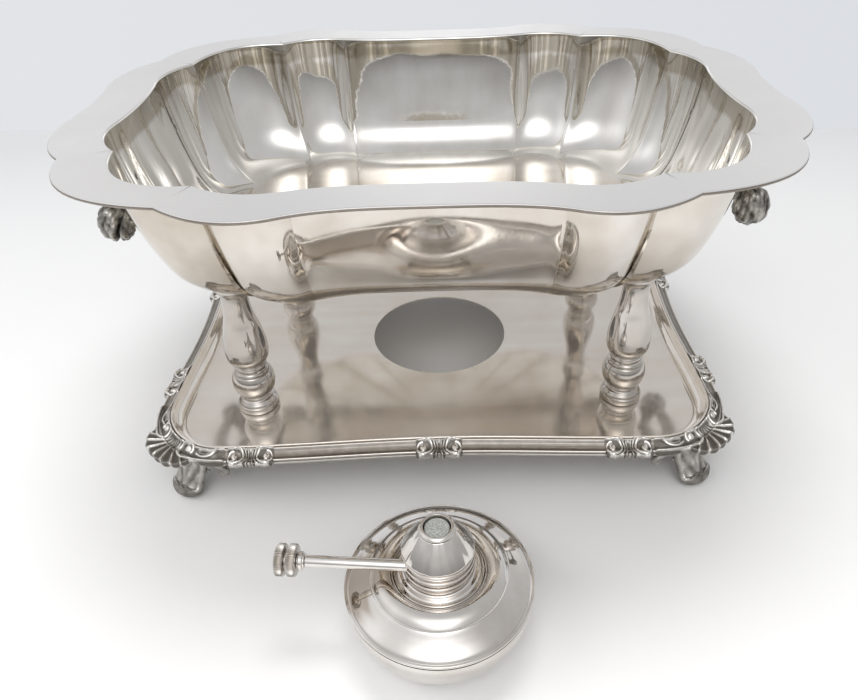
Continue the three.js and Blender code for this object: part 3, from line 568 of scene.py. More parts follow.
# How deep a crease is at the flange, as a share, and the share of the wall over which it gets there
CREASE_TOP_SHARE = 0.3
CREASE_START = 0.06
INNER_SOFTNESS = 0.12
OUTER_SOFTNESS = 0.13
# Softness of the tarnish and painted shade on the outside's creases
TARNISH_AND_SHADE_SOFTNESS = 0.35
# How fast a crease fades sideways, in a plain lobe and in a wide one
CREASE_POWER = 3.0
MIDDLE_CREASE_POWER = 7.0


def crease_share(softness):
    """1 on a crease, falling away to both sides as a power of 1 minus the sine across the lobe,
    rounded off by the softness. The wider the lobe, the higher the power."""
    rounded = np.sqrt(np.sin(np.pi * ACROSS_LOBE) ** 2 + softness ** 2) / np.sqrt(1 + softness ** 2)
    power = np.full(LOBES, CREASE_POWER)
    power[MIDDLE_LOBES] = MIDDLE_CREASE_POWER
    return ((1 - rounded) ** power[:, None]).ravel()


def wall_rings(top_outline, depth, first, softness):
    """Rings of the wall, each a mix of the top's and the floor's outline, sunk inwards at a crease. A
    crease is deepest where the wall has dropped seven tenths of the way."""
    inward, down = (share[..., None] for share in ring_shares(first))
    ring = top_outline + (floor_outline - top_outline) * inward
    swell = 2 * down * np.sqrt(1 - down ** 2)
    deepest = CREASE_DEPTH * (CREASE_TOP_SHARE + (1 - CREASE_TOP_SHARE) * swell)
    deepest = deepest * np.clip(down / CREASE_START, 0, 1) ** 2
    ring = ring - normals_of(ring) * deepest * crease_share(softness)[None, :, None]
    height = DISH_TOP - depth * down + 0 * ring[..., :1]
    return np.concatenate([ring, height], -1)


# %% Dish surface
# The rounded edge between the wall's inside and the flange
INNER_EDGE = 1.1
# Share of the depth down to which the band under the flange takes a painted reflection of the room
REFLECTION_BAND = 0.17


def lip_rings(outline, radius, height, angles):
    """Rings round an edge: out by the sine of an angle and down by what its cosine has lost."""
    angle = np.radians(angles)[:, None, None]
    ring = outline + normals_of(outline) * radius * (np.sin(angle) - 1)
    level = height - radius * (1 - np.cos(angle)) + 0 * ring[..., :1]
    return np.concatenate([ring, level], -1)


def flat_rings(start, end, shares):
    """Rings that pass straight from one ring to another, which keep the flange flat to its edges."""
    share = np.asarray(shares)[:, None, None]
    return start + (end - start) * share


def painted_reflection_band(down):
    """1 in the band under the flange, where the room's reflection is painted in the tarnish colour.
    Its lower edge waves a little, by two sines round the dish."""
    turn = np.linspace(0, 2 * np.pi, len(wall_outline), endpoint=False)
    edge = REFLECTION_BAND + 0.012 * np.sin(7 * turn) + 0.010 * np.sin(29 * turn + 1.0)
    return np.clip((edge - down) / 0.02, 0, 1)


def dish_surface():
    """Rings from the middle of the floor up the inside, over the flange and its lip, and down the
    outside; with the rows where a new finish starts, and for each point how much tarnish, painted
    shade and painted reflection it takes."""
    inner_depth = DISH_DEPTH - DISH_WALL
    inner = wall_rings(wall_outline, inner_depth, INNER_EDGE / inner_depth, INNER_SOFTNESS)[::-1]
    angle = np.radians(np.linspace(90, 0, 6))[:, None, None]
    edge = inner[-1, :, :2]
    top_edge = edge + normals_of(edge) * INNER_EDGE * (1 - np.sin(angle))
    top_level = DISH_TOP - INNER_EDGE * (1 - np.cos(angle)) + 0 * top_edge[..., :1]
    shoulder = np.concatenate([top_edge, top_level], -1)[1:]
    lip = lip_rings(flange_outline, FLANGE_THICKNESS / 2, DISH_TOP, np.linspace(0, 180, 9))
    flange = flat_rings(shoulder[-1], lip[0], [0.02, 0.06, 0.3, 0.5, 0.7, 0.94, 0.98])
    outer_outline = wall_outline + normals_of(wall_outline) * DISH_WALL
    outer = wall_rings(outer_outline, DISH_DEPTH, FLANGE_THICKNESS / DISH_DEPTH, OUTER_SOFTNESS)
    under = flat_rings(lip[-1], outer[0], [0.02, 0.06, 0.5, 0.94, 0.98])
    stack = np.concatenate([inner, shoulder, flange, lip, under, outer])
    sunk = np.zeros(stack.shape[:2])
    # Tarnish and painted shade in the creases: outside they darken towards the bottom, inside towards
    # the top
    tone_shift = crease_share(TARNISH_AND_SHADE_SOFTNESS) * np.linspace(0.3, 1.6, len(outer))[:, None]
    ridge = crease_share(INNER_SOFTNESS) * np.linspace(0, 1, len(inner))[:, None]
    sunk[-len(outer):] = tone_shift
    # Inside, the band under the flange is a painted reflection of the room
    sunk[:len(inner)] = 0.4 * ridge + 0.8 * painted_reflection_band((DISH_TOP - inner[..., 2]) / inner_depth)
    top_rows = len(inner) + len(shoulder) + len(flange)
    finish_rows = [len(inner) + 3, top_rows + 2, top_rows + len(lip) - 1]
    return skin(stack), finish_rows, np.append(sunk.ravel(), [0, 0])


dish_skin, finish_rows, sunk = dish_surface()
dish = piece(
    "lobed_dish", dish_skin, on_stand, "stand", "satin_silver",
    [silver_polished, silver_satin, silver_shaded_edge, silver_outside], ["dish_pan"], sharp=50,
    marks={"sunk": sunk},
)
ring_of_face = np.arange(len(dish.data.polygons)) // len(wall_outline)
finish = np.digitize(ring_of_face, finish_rows)
dish.data.polygons.foreach_set("material_index", finish.astype(np.int32))
dish.data.update()

# %% [markdown]
# ## The tray
# The tray is a flat sheet with a cove up to a thin rim. Its outline is a rectangle with round corners
# whose sides bow gently inwards. A round hole in the middle takes the burner. One section, carried
# round the outline, makes both faces of the sheet at once, so its thickness is even.

# %% Tray outline
RIM_HALF = np.array([146.5, 107.0])
CORNER_RADIUS = 34.0
BOWS = np.array([3.0, 3.5])
CORNER_MIDDLE = RIM_HALF - CORNER_RADIUS
COVE_WIDTH = 6.0
RIM_RISE = 8.0
TRAY_SHEET = 1.2
HOLE_RADIUS = 41.5
QUADRANTS = [(1, 1), (-1, 1), (-1, -1), (1, -1)]
CORNER_STEPS = 24
SIDE_STEPS = 48


def side_bow(depth, along, half):
    """A bow that is deepest in the middle of a side and fades to nothing at its ends."""
    return depth * (1 + np.cos(np.pi * along / half)) / 2


def tray_outline(offset):
    """The outline grown by an array of offsets: an arc for each corner, and after it a shallow cosine
    for the side that it runs into, which is a long one after the first and the third corner."""
    offset = np.asarray(offset, float)[:, None]
    share = 1 - 2 * np.arange(1, SIDE_STEPS) / SIDE_STEPS
    parts = []
    for quadrant, signs in enumerate(QUADRANTS):
        angle = np.pi / 2 * (quadrant + np.linspace(0, 1, CORNER_STEPS + 1))
        radius = CORNER_RADIUS + offset
        corner = np.stack([radius * np.cos(angle), radius * np.sin(angle)], -1)
        parts.append(corner + CORNER_MIDDLE * signs)
        out, along = (1, 0) if quadrant % 2 == 0 else (0, 1)
        side = np.empty((len(offset), len(share), 2))
        side[..., out] = signs[out] * (RIM_HALF[out] + offset - side_bow(BOWS[out], share, 1))
        side[..., along] = signs[along] * share * CORNER_MIDDLE[along]
        parts.append(side)
    return np.concatenate(parts, 1)


def tray_rings(profile):
    """One ring of the outline for each (offset, height) of a profile."""
    profile = np.asarray(profile, float)
    plan = tray_outline(profile[:, 0])
    height = profile[:, 1][:, None, None] + 0 * plan[..., :1]
    return np.concatenate([plan, height], -1)


# %% Tray surface
FLOOR_STEPS = 10


def cove(spread, steps):
    """The cove's section: out by the sine of a quarter turn and up by what its cosine has lost."""
    angle = np.linspace(0, np.pi / 2, steps)
    offset = -COVE_WIDTH + (COVE_WIDTH + spread) * np.sin(angle)
    height = TRAY_TOP - spread + (RIM_RISE + spread) * (1 - np.cos(angle))
    return np.stack([offset, height], -1)


def floor_rings(height, from_hole):
    """Rings that pass from the round hole to the cove's foot, in a straight line at each point."""
    foot = tray_outline([-COVE_WIDTH])[0]
    hole = foot / np.linalg.norm(foot, axis=1, keepdims=True) * HOLE_RADIUS
    share = np.linspace(0, 1, FLOOR_STEPS)[:-1, None, None]
    plan = hole + (foot - hole) * share
    rings = np.concatenate([plan, np.full_like(plan[..., :1], height)], -1)
    return rings if from_hole else rings[::-1]


def tray_surface():
    """Rings from the hole over the upper face, round the rim by half a turn and back underneath."""
    half = TRAY_SHEET / 2
    top = TRAY_TOP + RIM_RISE
    angle = np.linspace(0, np.pi, 7)[1:-1]
    rim = np.stack([half - half * np.cos(angle), top - half + half * np.sin(angle)], -1)
    inner, outer = cove(0, 12), cove(TRAY_SHEET, 12)
    inner[:, 1] = np.minimum(inner[:, 1], top - half)
    outer[:, 1] = np.minimum(outer[:, 1], top - half)
    section = np.concatenate([inner, rim, outer[::-1]])
    rings = np.concatenate([
        floor_rings(TRAY_TOP, True),
        tray_rings(section),
        floor_rings(TRAY_TOP - TRAY_SHEET, False),
    ])
    return skin(rings, wrap_rows=True)


stand_piece("footed_tray", tray_surface(), "silver_plate", silver_tray, "tray_plate", sharp=60)

# %% [markdown]
# ## The cast border
# A cast band is let in under the rim: a thin bright lip, a dark hollow, a bead, and a lower band that
# runs back under the tray. Its section is carried round the tray's own outline. Each stop of the
# section also says how proud the metal is, so the patina follows the casting.

# %% Border section
BORDER_INNER = TRAY_SHEET + CLEARANCE
BORDER_FOOT_HEIGHT = 22.3
BORDER_SHELF = 15.0
# How proud the hidden faces count
BORDER_HIDDEN = 0.15

# Offset and height, then how proud the metal stands there, which its patina follows
border_outside = flowing([
    [1.55, 31.9, 0.9], [1.9, 32.35, 1.0], [2.5, 32.25, 0.9], [2.95, 31.6, 0.25], [3.9, 30.6, 0.22],
    [5.3, 29.75, 0.30], [6.7, 29.35, 0.18], [7.3, 29.45, 0.35], [7.7, 29.8, 0.95],
    [8.25, 29.75, 1.0], [8.55, 29.2, 0.6], [8.35, 28.6, 0.12], [7.85, 28.35, 0.05],
    [8.0, 28.05, 0.15], [8.6, 27.7, 0.5], [8.75, 27.1, 0.6], [8.4, 26.6, 0.35], [7.2, 26.1, 0.2],
    [5.0, 24.4, 0.15],
], 5)


def border_section():
    """The outside from lip over hollow, bead and lower band, then back under the tray to its cove."""
    seat = cove(TRAY_SHEET + CLEARANCE, 8)[:-1]
    under = np.array([
        [BORDER_INNER, BORDER_FOOT_HEIGHT],
        [-BORDER_SHELF, BORDER_FOOT_HEIGHT],
        [-BORDER_SHELF, seat[0, 1]],
    ])
    section = np.concatenate([border_outside[:, :2], under, seat])
    proud = np.concatenate([border_outside[:, 2], np.full(len(under) + len(seat), BORDER_HIDDEN)])
    return section, proud


def streaks(level, along):
    """Marks that run along a border: slow sines whose phase jumps from line to line."""
    phase = 37.0 * np.sin(level * 12.9)
    slow = 0.3 * np.sin(along * 0.09 + phase)
    quick = 0.2 * np.sin(along * 0.17 + 2.3 * phase)
    return slow + quick + 0.8 * np.sin(phase)


section, proud = border_section()
border_rings = tray_rings(section)
step = np.arange(border_rings.shape[1])[None, :]
border_marks = proud[:, None] + 0.15 * streaks(np.arange(len(section))[:, None], step)
stand_piece(
    "cast_border", skin(border_rings, wrap_rows=True), "cast_silver", cast_border, "tray_border",
    marks={"height": np.clip(border_marks, 0, 1).ravel()},
)


# %% [markdown]
# ## Cast ornaments on the border
# A shell with scrolls covers each corner and smaller scroll mounts sit along the sides. Each is a
# relief: a flat design in length along the border and offset outwards from the rim, whose ridges rise
# by how near a point lies to a drawn line, and then the whole is draped over the border.

# %% Drawing a relief
def near_line(along, offset, line, width):
    """1 on a drawn line, falling to 0 at its width as a round ridge does: the root of 1 minus the
    square of the distance over the width."""
    start, end = line[:-1], line[1:]
    stretch = end - start
    gap = np.stack([along, offset], -1)[..., None, :] - start
    share = (gap * stretch).sum(-1) / np.maximum((stretch ** 2).sum(-1), 1e-9)
    nearest = gap - np.clip(share, 0, 1)[..., None] * stretch
    distance = np.sqrt((nearest ** 2).sum(-1)).min(-1)
    return np.sqrt(np.clip(1 - (distance / width) ** 2, 0, 1))


def ball(along, offset, middle, radius):
    """A round boss: the root of 1 minus the square of the distance over the radius."""
    distance = np.hypot(along - middle[0], offset - middle[1])
    return np.sqrt(np.clip(1 - (distance / radius) ** 2, 0, 1))


def highest(along, offset, lines, balls):
    """The highest of the ridges, given as height, line and width, and of the balls, given as height,
    middle and radius."""
    ridges = [height * near_line(along, offset, line, width) for height, line, width in lines]
    bosses = [height * ball(along, offset, middle, radius) for height, middle, radius in balls]
    return np.maximum.reduce(ridges + bosses)


def bell(place, middle, width):
    """1 at the middle, falling to both sides as e to the minus square of distance over width."""
    return np.exp(-((place - middle) / width) ** 2)


def spiral(middle, angles, radii, steps):
    """A line round a middle whose radius changes evenly between stops given by angle, in degrees."""
    turn = np.linspace(angles[0], angles[-1], steps)
    radius = np.interp(turn, angles, radii)
    turn = np.radians(turn)
    return np.stack([middle[0] + radius * np.cos(turn), middle[1] - radius * np.sin(turn)], -1)


# %% Draping a relief over the border
LIP_DROP = 2.9
LIP_ROWS = 9
ORNAMENT_START = 1.75
DRAPE_GAP = 0.12
# An ornament thins out at its ends and falls a little over the last part of its reach
END_LENGTH = 1.2
EDGE_SHARE = 0.12
EDGE_FALL = 0.5
# How far the lower face stays inside the upper one at the lip
LIP_THICKNESS = 0.8
# How many points of the border's outline the height under an ornament follows, and how many its
# patina; the height stays level past one offset, and the metal is sunk at another
HEIGHT_POINTS = 50
PATINA_POINTS = 40
LEVEL_OFFSET = 8.2
SUNK_OFFSET = 8.8
SUNK_PROUD = 0.05


def border_under(offset):
    """Height and proudness of the border under an ornament. Past the top of its bead the height stays
    level and the metal counts as sunk."""
    form = border_outside[:HEIGHT_POINTS]
    height = np.interp(np.minimum(offset, LEVEL_OFFSET), form[:, 0], form[:, 1])
    shown = border_outside[:PATINA_POINTS]
    return height, np.interp(offset, [*shown[:, 0], SUNK_OFFSET], [*shown[:, 2], SUNK_PROUD])


def draped(place, half_length, reach, relief, columns, rows):
    """A thick patch over the border. Columns run along it; rows run from the rim outwards to the
    reach, and then down the outer edge. The lower face repeats the upper without its relief. Where
    the relief is nothing, the patch shows the border's own form and patina."""
    along = np.linspace(-half_length, half_length, columns)[:, None]
    share = np.linspace(0, 1, rows)[None, :]
    edge = reach(along)
    offset = ORNAMENT_START + (edge - ORNAMENT_START) * share
    height = relief(along + 0 * offset, offset)
    ends = np.clip((half_length - np.abs(along)) / END_LENGTH, 0, 1) ** 0.5
    fall = np.clip((share - (1 - EDGE_SHARE)) / EDGE_SHARE, 0, 1) ** 2
    base, proud = border_under(offset)
    top = base + DRAPE_GAP + height * ends - fall * EDGE_FALL
    lip_share = np.linspace(0, 1, LIP_ROWS)[None, 1:]
    ridge = np.clip(height[:, -1:], 0, 1)
    lip_offset = edge + (0.35 * ridge * np.sin(np.pi * lip_share) - 0.5 * lip_share ** 2) * ends
    lip_top = top[:, -1:] - (LIP_DROP * ends + 0.1) * lip_share
    upper_offset = np.concatenate([offset, lip_offset], 1)
    upper_height = np.concatenate([top, lip_top], 1)
    lower_offset = np.concatenate([offset[:, :-1], np.repeat(edge, LIP_ROWS, 1) - LIP_THICKNESS], 1)
    lower_edge = np.concatenate([base[:, -1:], lip_top], 1)
    lower_height = np.concatenate([base[:, :-1], np.minimum(lower_edge, base[:, -1:] - 0.05)], 1)
    shade = np.maximum(0.9 * proud, height / 1.2)
    lip_shade = 0.12 + 0.8 * ridge ** 1.5 * (1 - 0.4 * lip_share) + 0.4 * bell(lip_share, 0.9, 0.1)
    upper, lower = (
        np.concatenate([place(along + 0 * out, out), level[..., None]], -1)
        for out, level in ((upper_offset, upper_height), (lower_offset, lower_height))
    )
    marks = np.clip(np.concatenate([shade, lip_shade], 1), 0, 1)
    return thick_patch(upper, lower), marks.ravel()


def thick_patch(upper, lower):
    """Closes the space between two grids of the same size with a strip round their edge."""
    columns, rows = upper.shape[:2]
    count = columns * rows
    top = grid_faces(columns, rows, wrap_columns=False)
    bottom = top[:, ::-1] + count
    index = np.arange(count).reshape(columns, rows)
    rim = np.concatenate([index[:-1, 0], index[-1, :-1], index[:0:-1, -1], index[0, :0:-1]])
    after = np.roll(rim, -1)
    wall = np.stack([rim, rim + count, after + count, after], -1)
    points = np.concatenate([upper.reshape(-1, 3), lower.reshape(-1, 3)])
    return points, np.concatenate([top, bottom, wall]), np.zeros((0, 3), int)


# %% Places along the border
def beside(out, middle, sign):
    """Along a side of the border from a middle, and outwards from its bow. Out is the axis that the
    side faces: 0 for the short ones, 1 for the long ones."""
    def place(along, offset):
        way = middle + along
        reach = sign * (RIM_HALF[out] + offset - side_bow(BOWS[out], way, CORNER_MIDDLE[1 - out]))
        return np.stack([way, reach] if out == 1 else [reach, way], -1)
    return place


def round_corner(sign_x, sign_y):
    """Along the arc from the corner's diagonal, and on along the sides past its ends."""
    def place(along, offset):
        half = CORNER_RADIUS * np.pi / 4
        on_arc = np.clip(along, -half, half)
        past = along - on_arc
        angle = np.pi / 4 + on_arc / CORNER_RADIUS
        x = CORNER_MIDDLE[0] + (CORNER_RADIUS + offset) * np.cos(angle) - np.maximum(past, 0)
        y = CORNER_MIDDLE[1] + (CORNER_RADIUS + offset) * np.sin(angle) + np.minimum(past, 0)
        return np.stack([sign_x * x, sign_y * y], -1)
    return place


# %% [markdown]
# ### The scroll mount
# Two C-scrolls stand back to back. Each leaves the rim, turns in towards the middle and winds round a
# ball. Narrow leaves fan out between them. It could be sculpted, but a few drawn lines are easier to
# move, and ten equal castings follow from them.

# %% Scroll mount
MOUNT_HALF = 12.0
SCROLL_MIDDLE = np.array([8.2, 6.1])
# Middles of the mounts, along the short sides and along the long ones
MOUNT_MIDDLES = [(-50.0, 50.0), (-97.0, 0.0, 97.0)]


def mount_reach(along):
    """The outer edge: level, with a wide swell at each scroll's ball and a small one at each leaf."""
    side = np.abs(along)
    return 10.3 + 1.2 * bell(side, 8.0, 2.8) + 0.35 * bell(side, 2.6, 1.2)


def mount_relief(along, offset):
    """The design of one half, mirrored: the highest line or ball at each point, on a low swell."""
    side = np.abs(along)
    scroll = spiral(SCROLL_MIDDLE, [55, 90, 180, 270, 360, 440], [6.0, 4.7, 4.7, 4.1, 3.3, 2.4], 36)
    inner_scroll = spiral(SCROLL_MIDDLE, [95, 180, 255], [6.1, 6.2, 5.7], 20)
    leaf = flowing([[1.3, 2.6], [0.9, 5.5], [1.2, 8.5], [1.9, 11.5]], 5)
    tail = flowing([[7.2, 1.9], [9.5, 2.5], [12.0, 2.2]], 5)
    lines = [(1.2, scroll, 0.8), (0.9, inner_scroll, 0.5), (0.8, leaf, 0.45), (0.7, tail, 0.5)]
    balls = [
        (1.45, SCROLL_MIDDLE, 1.7), (1.25, (8.6, 10.2), 2.0), (1.0, (3.9, 10.4), 0.9),
        (0.9, (0.0, 10.5), 0.9), (0.8, (0.0, 3.4), 0.8),
    ]
    return highest(side, offset, lines, balls) + 0.25 * bell(side, SCROLL_MIDDLE[0], 4.0)


mounts = [
    beside(out, middle, sign) for sign in (-1, 1) for out in (1, 0) for middle in MOUNT_MIDDLES[out]
]
for number, place in enumerate(mounts, 1):
    surface, marks = draped(place, MOUNT_HALF, mount_reach, mount_relief, 110, 52)
    stand_piece(
        f"scroll_ornament_{number}", surface, "cast_silver", cast_ornament,
        f"scroll_mount_{number}", sharp=70, marks={"height": marks},
    )

# %% [markdown]
# ### The corner shell
# A fan of fluted ribs spreads from the rim over the corner. On each side a big scroll winds out of a
# ball and runs on as the border's bead, with a small two-bladed leaf inside it. The flutes follow from
# the angle round the fan's hub, which keeps them alike, and the rest is drawn with lines.

# %% Corner shell
SHELL_HALF = 29.0
FAN_ANGLE = 41.0
FLUTES = 6
FAN_HUB = np.array([0.0, -1.0])
EYE = np.array([10.3, 4.4])


def across_fan(angle):
    """How many flutes an angle lies from the fan's edge."""
    return (angle + FAN_ANGLE) * FLUTES / (2 * FAN_ANGLE)


def shell_reach(along):
    """The outer edge: level at the sides, and further out at the fan with a scallop for each flute."""
    side = np.abs(along)
    fan = np.clip(1 - (side / 14.0) ** 4, 0, 1)
    angle = np.degrees(np.arctan2(along, 16.0))
    scallop = np.abs(np.cos(np.pi * across_fan(angle) - np.pi / 2))
    return 9.3 + fan * (7.0 + 1.3 * scallop)


def fan_relief(along, offset):
    """Flutes that are hollow in the middle and rise to their edges as the fourth power of the share
    across, more so the further they lie from the hub."""
    gap_along, gap_offset = along - FAN_HUB[0], offset - FAN_HUB[1]
    angle = np.degrees(np.arctan2(gap_along, gap_offset))
    across = across_fan(angle)
    hollow = np.abs(2 * (across - np.floor(across)) - 1) ** 4
    in_fan = np.clip((FAN_ANGLE + 2 - np.abs(angle)) / 3, 0, 1)
    rise = 0.35 + 1.0 * np.clip(np.hypot(gap_along, gap_offset) / 15, 0, 1)
    return in_fan * (0.12 + hollow * 1.1) * rise


def shell_relief(along, offset):
    """The fan, and on each side of it the scroll, its bead and its leaf."""
    side = np.abs(along)
    scroll = spiral(EYE, [-30, 90, 180, 225, 262], [2.4, 2.9, 4.0, 5.4, 5.3], 40)
    second = spiral(EYE, [150, 185, 225], [6.0, 5.9, 7.0], 16)
    bead = np.array([scroll[-1], [14.0, 9.0], [19.0, 8.5], [29.0, 8.2]])
    outer_blade = flowing([[15.2, 5.2], [18.0, 6.0], [21.5, 5.0], [24.5, 2.6]], 6)
    inner_blade = flowing([[16.2, 3.4], [19.0, 3.0], [21.5, 3.3], [24.5, 2.6]], 6)
    vein = flowing([[16.4, 4.4], [19.5, 4.5], [22.5, 3.6]], 5)
    tip = np.array([[24.0, 2.4], [29.0, 1.9]])
    lines = [
        (1.3, scroll, 0.85), (0.8, second, 0.5), (1.1, bead, 0.75), (1.1, outer_blade, 0.8),
        (0.95, inner_blade, 0.7), (0.6, vein, 0.45), (0.6, tip, 0.6),
    ]
    return np.maximum(fan_relief(along, offset), highest(side, offset, lines, [(1.5, EYE, 1.75)]))


for number, (sign_x, sign_y) in enumerate(QUADRANTS, 1):
    place = round_corner(sign_x, sign_y)
    surface, marks = draped(place, SHELL_HALF, shell_reach, shell_relief, 260, 62)
    stand_piece(
        f"shell_corner_{number}", surface, "cast_silver", cast_ornament,
        f"corner_shell_{number}", sharp=70, marks={"height": marks},
    )


# %% [markdown]
# ## The feet
# Each foot is a cast leaf that springs from under the corner and steps outwards to a short blunt toe,
# with a scroll and a small barb on either side under the border. The leaf is a section carried down a
# path: wide and thin, veined on its outer face, with curled edges. The scrolls are round sections that
# grow and shrink along a curve.

# %% Carrying a section along a path
def moving_frame(path, side_hint):
    """Unit directions sideways from a path, and square to the path and to that."""
    along = np.gradient(path, axis=0)
    along /= np.linalg.norm(along, axis=1, keepdims=True)
    out = np.cross(side_hint, along)
    out /= np.linalg.norm(out, axis=1, keepdims=True)
    return np.cross(along, out), out


FOOT_TURN = np.radians(54.0)
FOOT_TOP = 22.0
FOOT_SIDES = 96
# Reach, height, half width, half thickness, how far the edges draw back, and how far they curl up
FOOT_STOPS = [
    [34.6, 22.0, 11.8, 2.8, 0.0, 0.0], [35.2, 18.5, 12.0, 2.7, 0.0, 0.0],
    [36.0, 15.0, 11.4, 2.7, 0.2, 0.0], [37.2, 11.4, 10.4, 2.7, 0.5, 0.1],
    [38.9, 8.0, 10.0, 2.8, 0.9, 0.3], [40.9, 5.3, 10.4, 3.1, 1.3, 0.6],
    [43.0, 3.7, 10.8, 3.4, 1.7, 0.9], [45.0, 3.6, 10.4, 3.2, 2.0, 1.1],
    [46.4, 4.6, 8.8, 2.4, 2.0, 1.1], [47.0, 5.6, 6.4, 1.3, 1.6, 0.8],
]


def foot_surface(sign_x, sign_y):
    """The section is an ellipse round each stop. Its edges draw back by the square of the share across
    and curl up by the cube, its outer face carries veins, and a rim follows each edge."""
    stops = flowing(FOOT_STOPS, 9)
    path = np.stack([stops[:, 0], 0 * stops[:, 0], stops[:, 1]], -1)
    side, out = moving_frame(path, np.array([0.0, 1.0, 0.0]))
    angle = np.linspace(0, 2 * np.pi, FOOT_SIDES, endpoint=False)
    across, face = np.sin(angle), np.cos(angle)
    share = np.linspace(0, 1, len(stops))[:, None]
    outer = np.clip(-face * 2, 0, 1)
    spread = across * (1 + 0.25 * share)
    veins = 0.5 + 0.5 * np.cos(2 * np.pi * (1.6 * np.abs(spread) + 1.9 * share))
    rim = bell(np.abs(across), 0.88, 0.10)
    relief = np.maximum(0.8 * veins, 1.3 * rim)
    width = stops[:, 2:3] * across
    thick = stops[:, 3:4] * face - 0.5 * relief * outer
    rings = path[:, None] + side[:, None] * width[..., None] + out[:, None] * thick[..., None]
    rings[..., 0] -= stops[:, 4:5] * across ** 2
    rings[..., 2] += stops[:, 5:6] * np.abs(across) ** 3
    rings[..., 2] = np.clip(rings[..., 2], 0.0, FOOT_TOP)
    direction = np.arctan2(sign_y * np.sin(FOOT_TURN), sign_x * np.cos(FOOT_TURN))
    points, quads, triangles = skin(rings)
    points[:, :2] = points[:, :2] @ plan_turn(direction) + CORNER_MIDDLE * [sign_x, sign_y]
    marks = np.clip(0.35 + 0.6 * relief * outer, 0, 1) + 0 * share
    marks = np.concatenate([marks.ravel(), np.full(2, 0.3)])
    return (points, quads, triangles), marks


# %% Scroll and barb beside each foot
# Way along the corner's arc from the foot's middle, height, and half thickness
SCROLL_STOPS = [
    [4.0, 16.5, 2.6], [7.0, 17.2, 2.3], [9.5, 18.6, 1.8], [12.0, 20.0, 1.5], [15.0, 20.5, 1.4],
    [18.5, 19.7, 1.6], [21.2, 17.8, 1.9], [21.6, 15.8, 1.9], [20.2, 14.9, 1.6], [19.0, 15.6, 1.2],
    [19.2, 16.8, 0.8],
]
BARB_STOPS = [[5.0, 12.6, 2.2], [8.0, 14.0, 1.7], [10.4, 15.0, 1.1], [12.2, 15.2, 0.5]]
# Radius at which the way along the arc is measured, and radius at which the scrolls lie
ARC_RADIUS = 35.5
SCROLL_RADIUS = 36.0
SCROLL_SIDES = 28
# How proud the scrolls count all over, for their patina
SCROLL_PROUD = 0.62


def round_bar(path, side_hint, radius, sides):
    """Rings round a path: each point goes out by the radius, by the cosine of its angle sideways and
    by the sine square to that. The radius is given for each ring, or for each point of each ring."""
    side, out = moving_frame(path, side_hint)
    angle = np.linspace(0, 2 * np.pi, sides, endpoint=False)[:, None]
    ring = side[:, None] * np.cos(angle) + out[:, None] * np.sin(angle)
    return path[:, None] + ring * radius[..., None]


def beside_foot(stops, hand, sign_x, sign_y):
    """Lays stops along the arc of the corner, to one hand of the foot, just under the border."""
    stops = flowing(stops, 7)
    angle = FOOT_TURN + hand * stops[:, 0] / ARC_RADIUS
    x = sign_x * (CORNER_MIDDLE[0] + SCROLL_RADIUS * np.cos(angle))
    y = sign_y * (CORNER_MIDDLE[1] + SCROLL_RADIUS * np.sin(angle))
    path = np.stack([x, y, stops[:, 1]], -1)
    return skin(round_bar(path, np.array([0.3, 0.2, 1.0]), stops[:, 2:3], SCROLL_SIDES))


def joined(surfaces):
    """Several closed surfaces as one; each faces outwards before they are put together."""
    parts, count = [], 0
    for surface in surfaces:
        points, quads, triangles = outward(*surface)
        parts.append((points, quads + count, triangles + count))
        count += len(points)
    return [np.concatenate(part) for part in zip(*parts)]


for number, (sign_x, sign_y) in enumerate(QUADRANTS, 1):
    leaf, marks = foot_surface(sign_x, sign_y)
    scrolls = [
        beside_foot(stops, hand, sign_x, sign_y)
        for stops in (SCROLL_STOPS, BARB_STOPS) for hand in (1, -1)
    ]
    surface = joined([leaf, *scrolls])
    marks = np.concatenate([marks, np.full(len(surface[0]) - len(marks), SCROLL_PROUD)])
    stand_piece(
        f"leaf_foot_{number}", surface, "cast_silver", cast_foot, f"foot_{number}",
        marks={"height": marks},
    )

# %% [markdown]
# ## The columns
# Each column is turned in two lengths, held by a rod through both: a base with rings and a ball knop,
# and a vase that narrows to a neck. A smooth curve through a few radii gives each outline. Turned work
# is the same all round, so the outline is all that has to be drawn.

# %% Outlines of base and vase
COLUMN_PLACES = [(x * 102.5, y * 64.8) for x, y in QUADRANTS]
COLUMN_FOOT = TRAY_TOP + CLEARANCE
BASE_RISE = 27.0
VASE_FOOT = COLUMN_FOOT + BASE_RISE + CLEARANCE
VASE_RISE = 51.9
BASE_RADIUS = 11.65
VASE_RADIUS = 11.5
ROD_BORE = 2.7
COLUMN_SIDES = 72


def bored(stops, radius, foot, rise):
    """Radius and rise shares through a smooth curve, closed down the bore for the tie rod."""
    outline = flowing(stops, 5) * [radius, rise] + [0, foot]
    outline[:, 0] = np.minimum(outline[:, 0], radius)
    outline[:, 1] = np.clip(outline[:, 1], foot, foot + rise)
    bore = np.array([[ROD_BORE, foot + rise], [ROD_BORE, foot]])
    return np.concatenate([outline, bore])


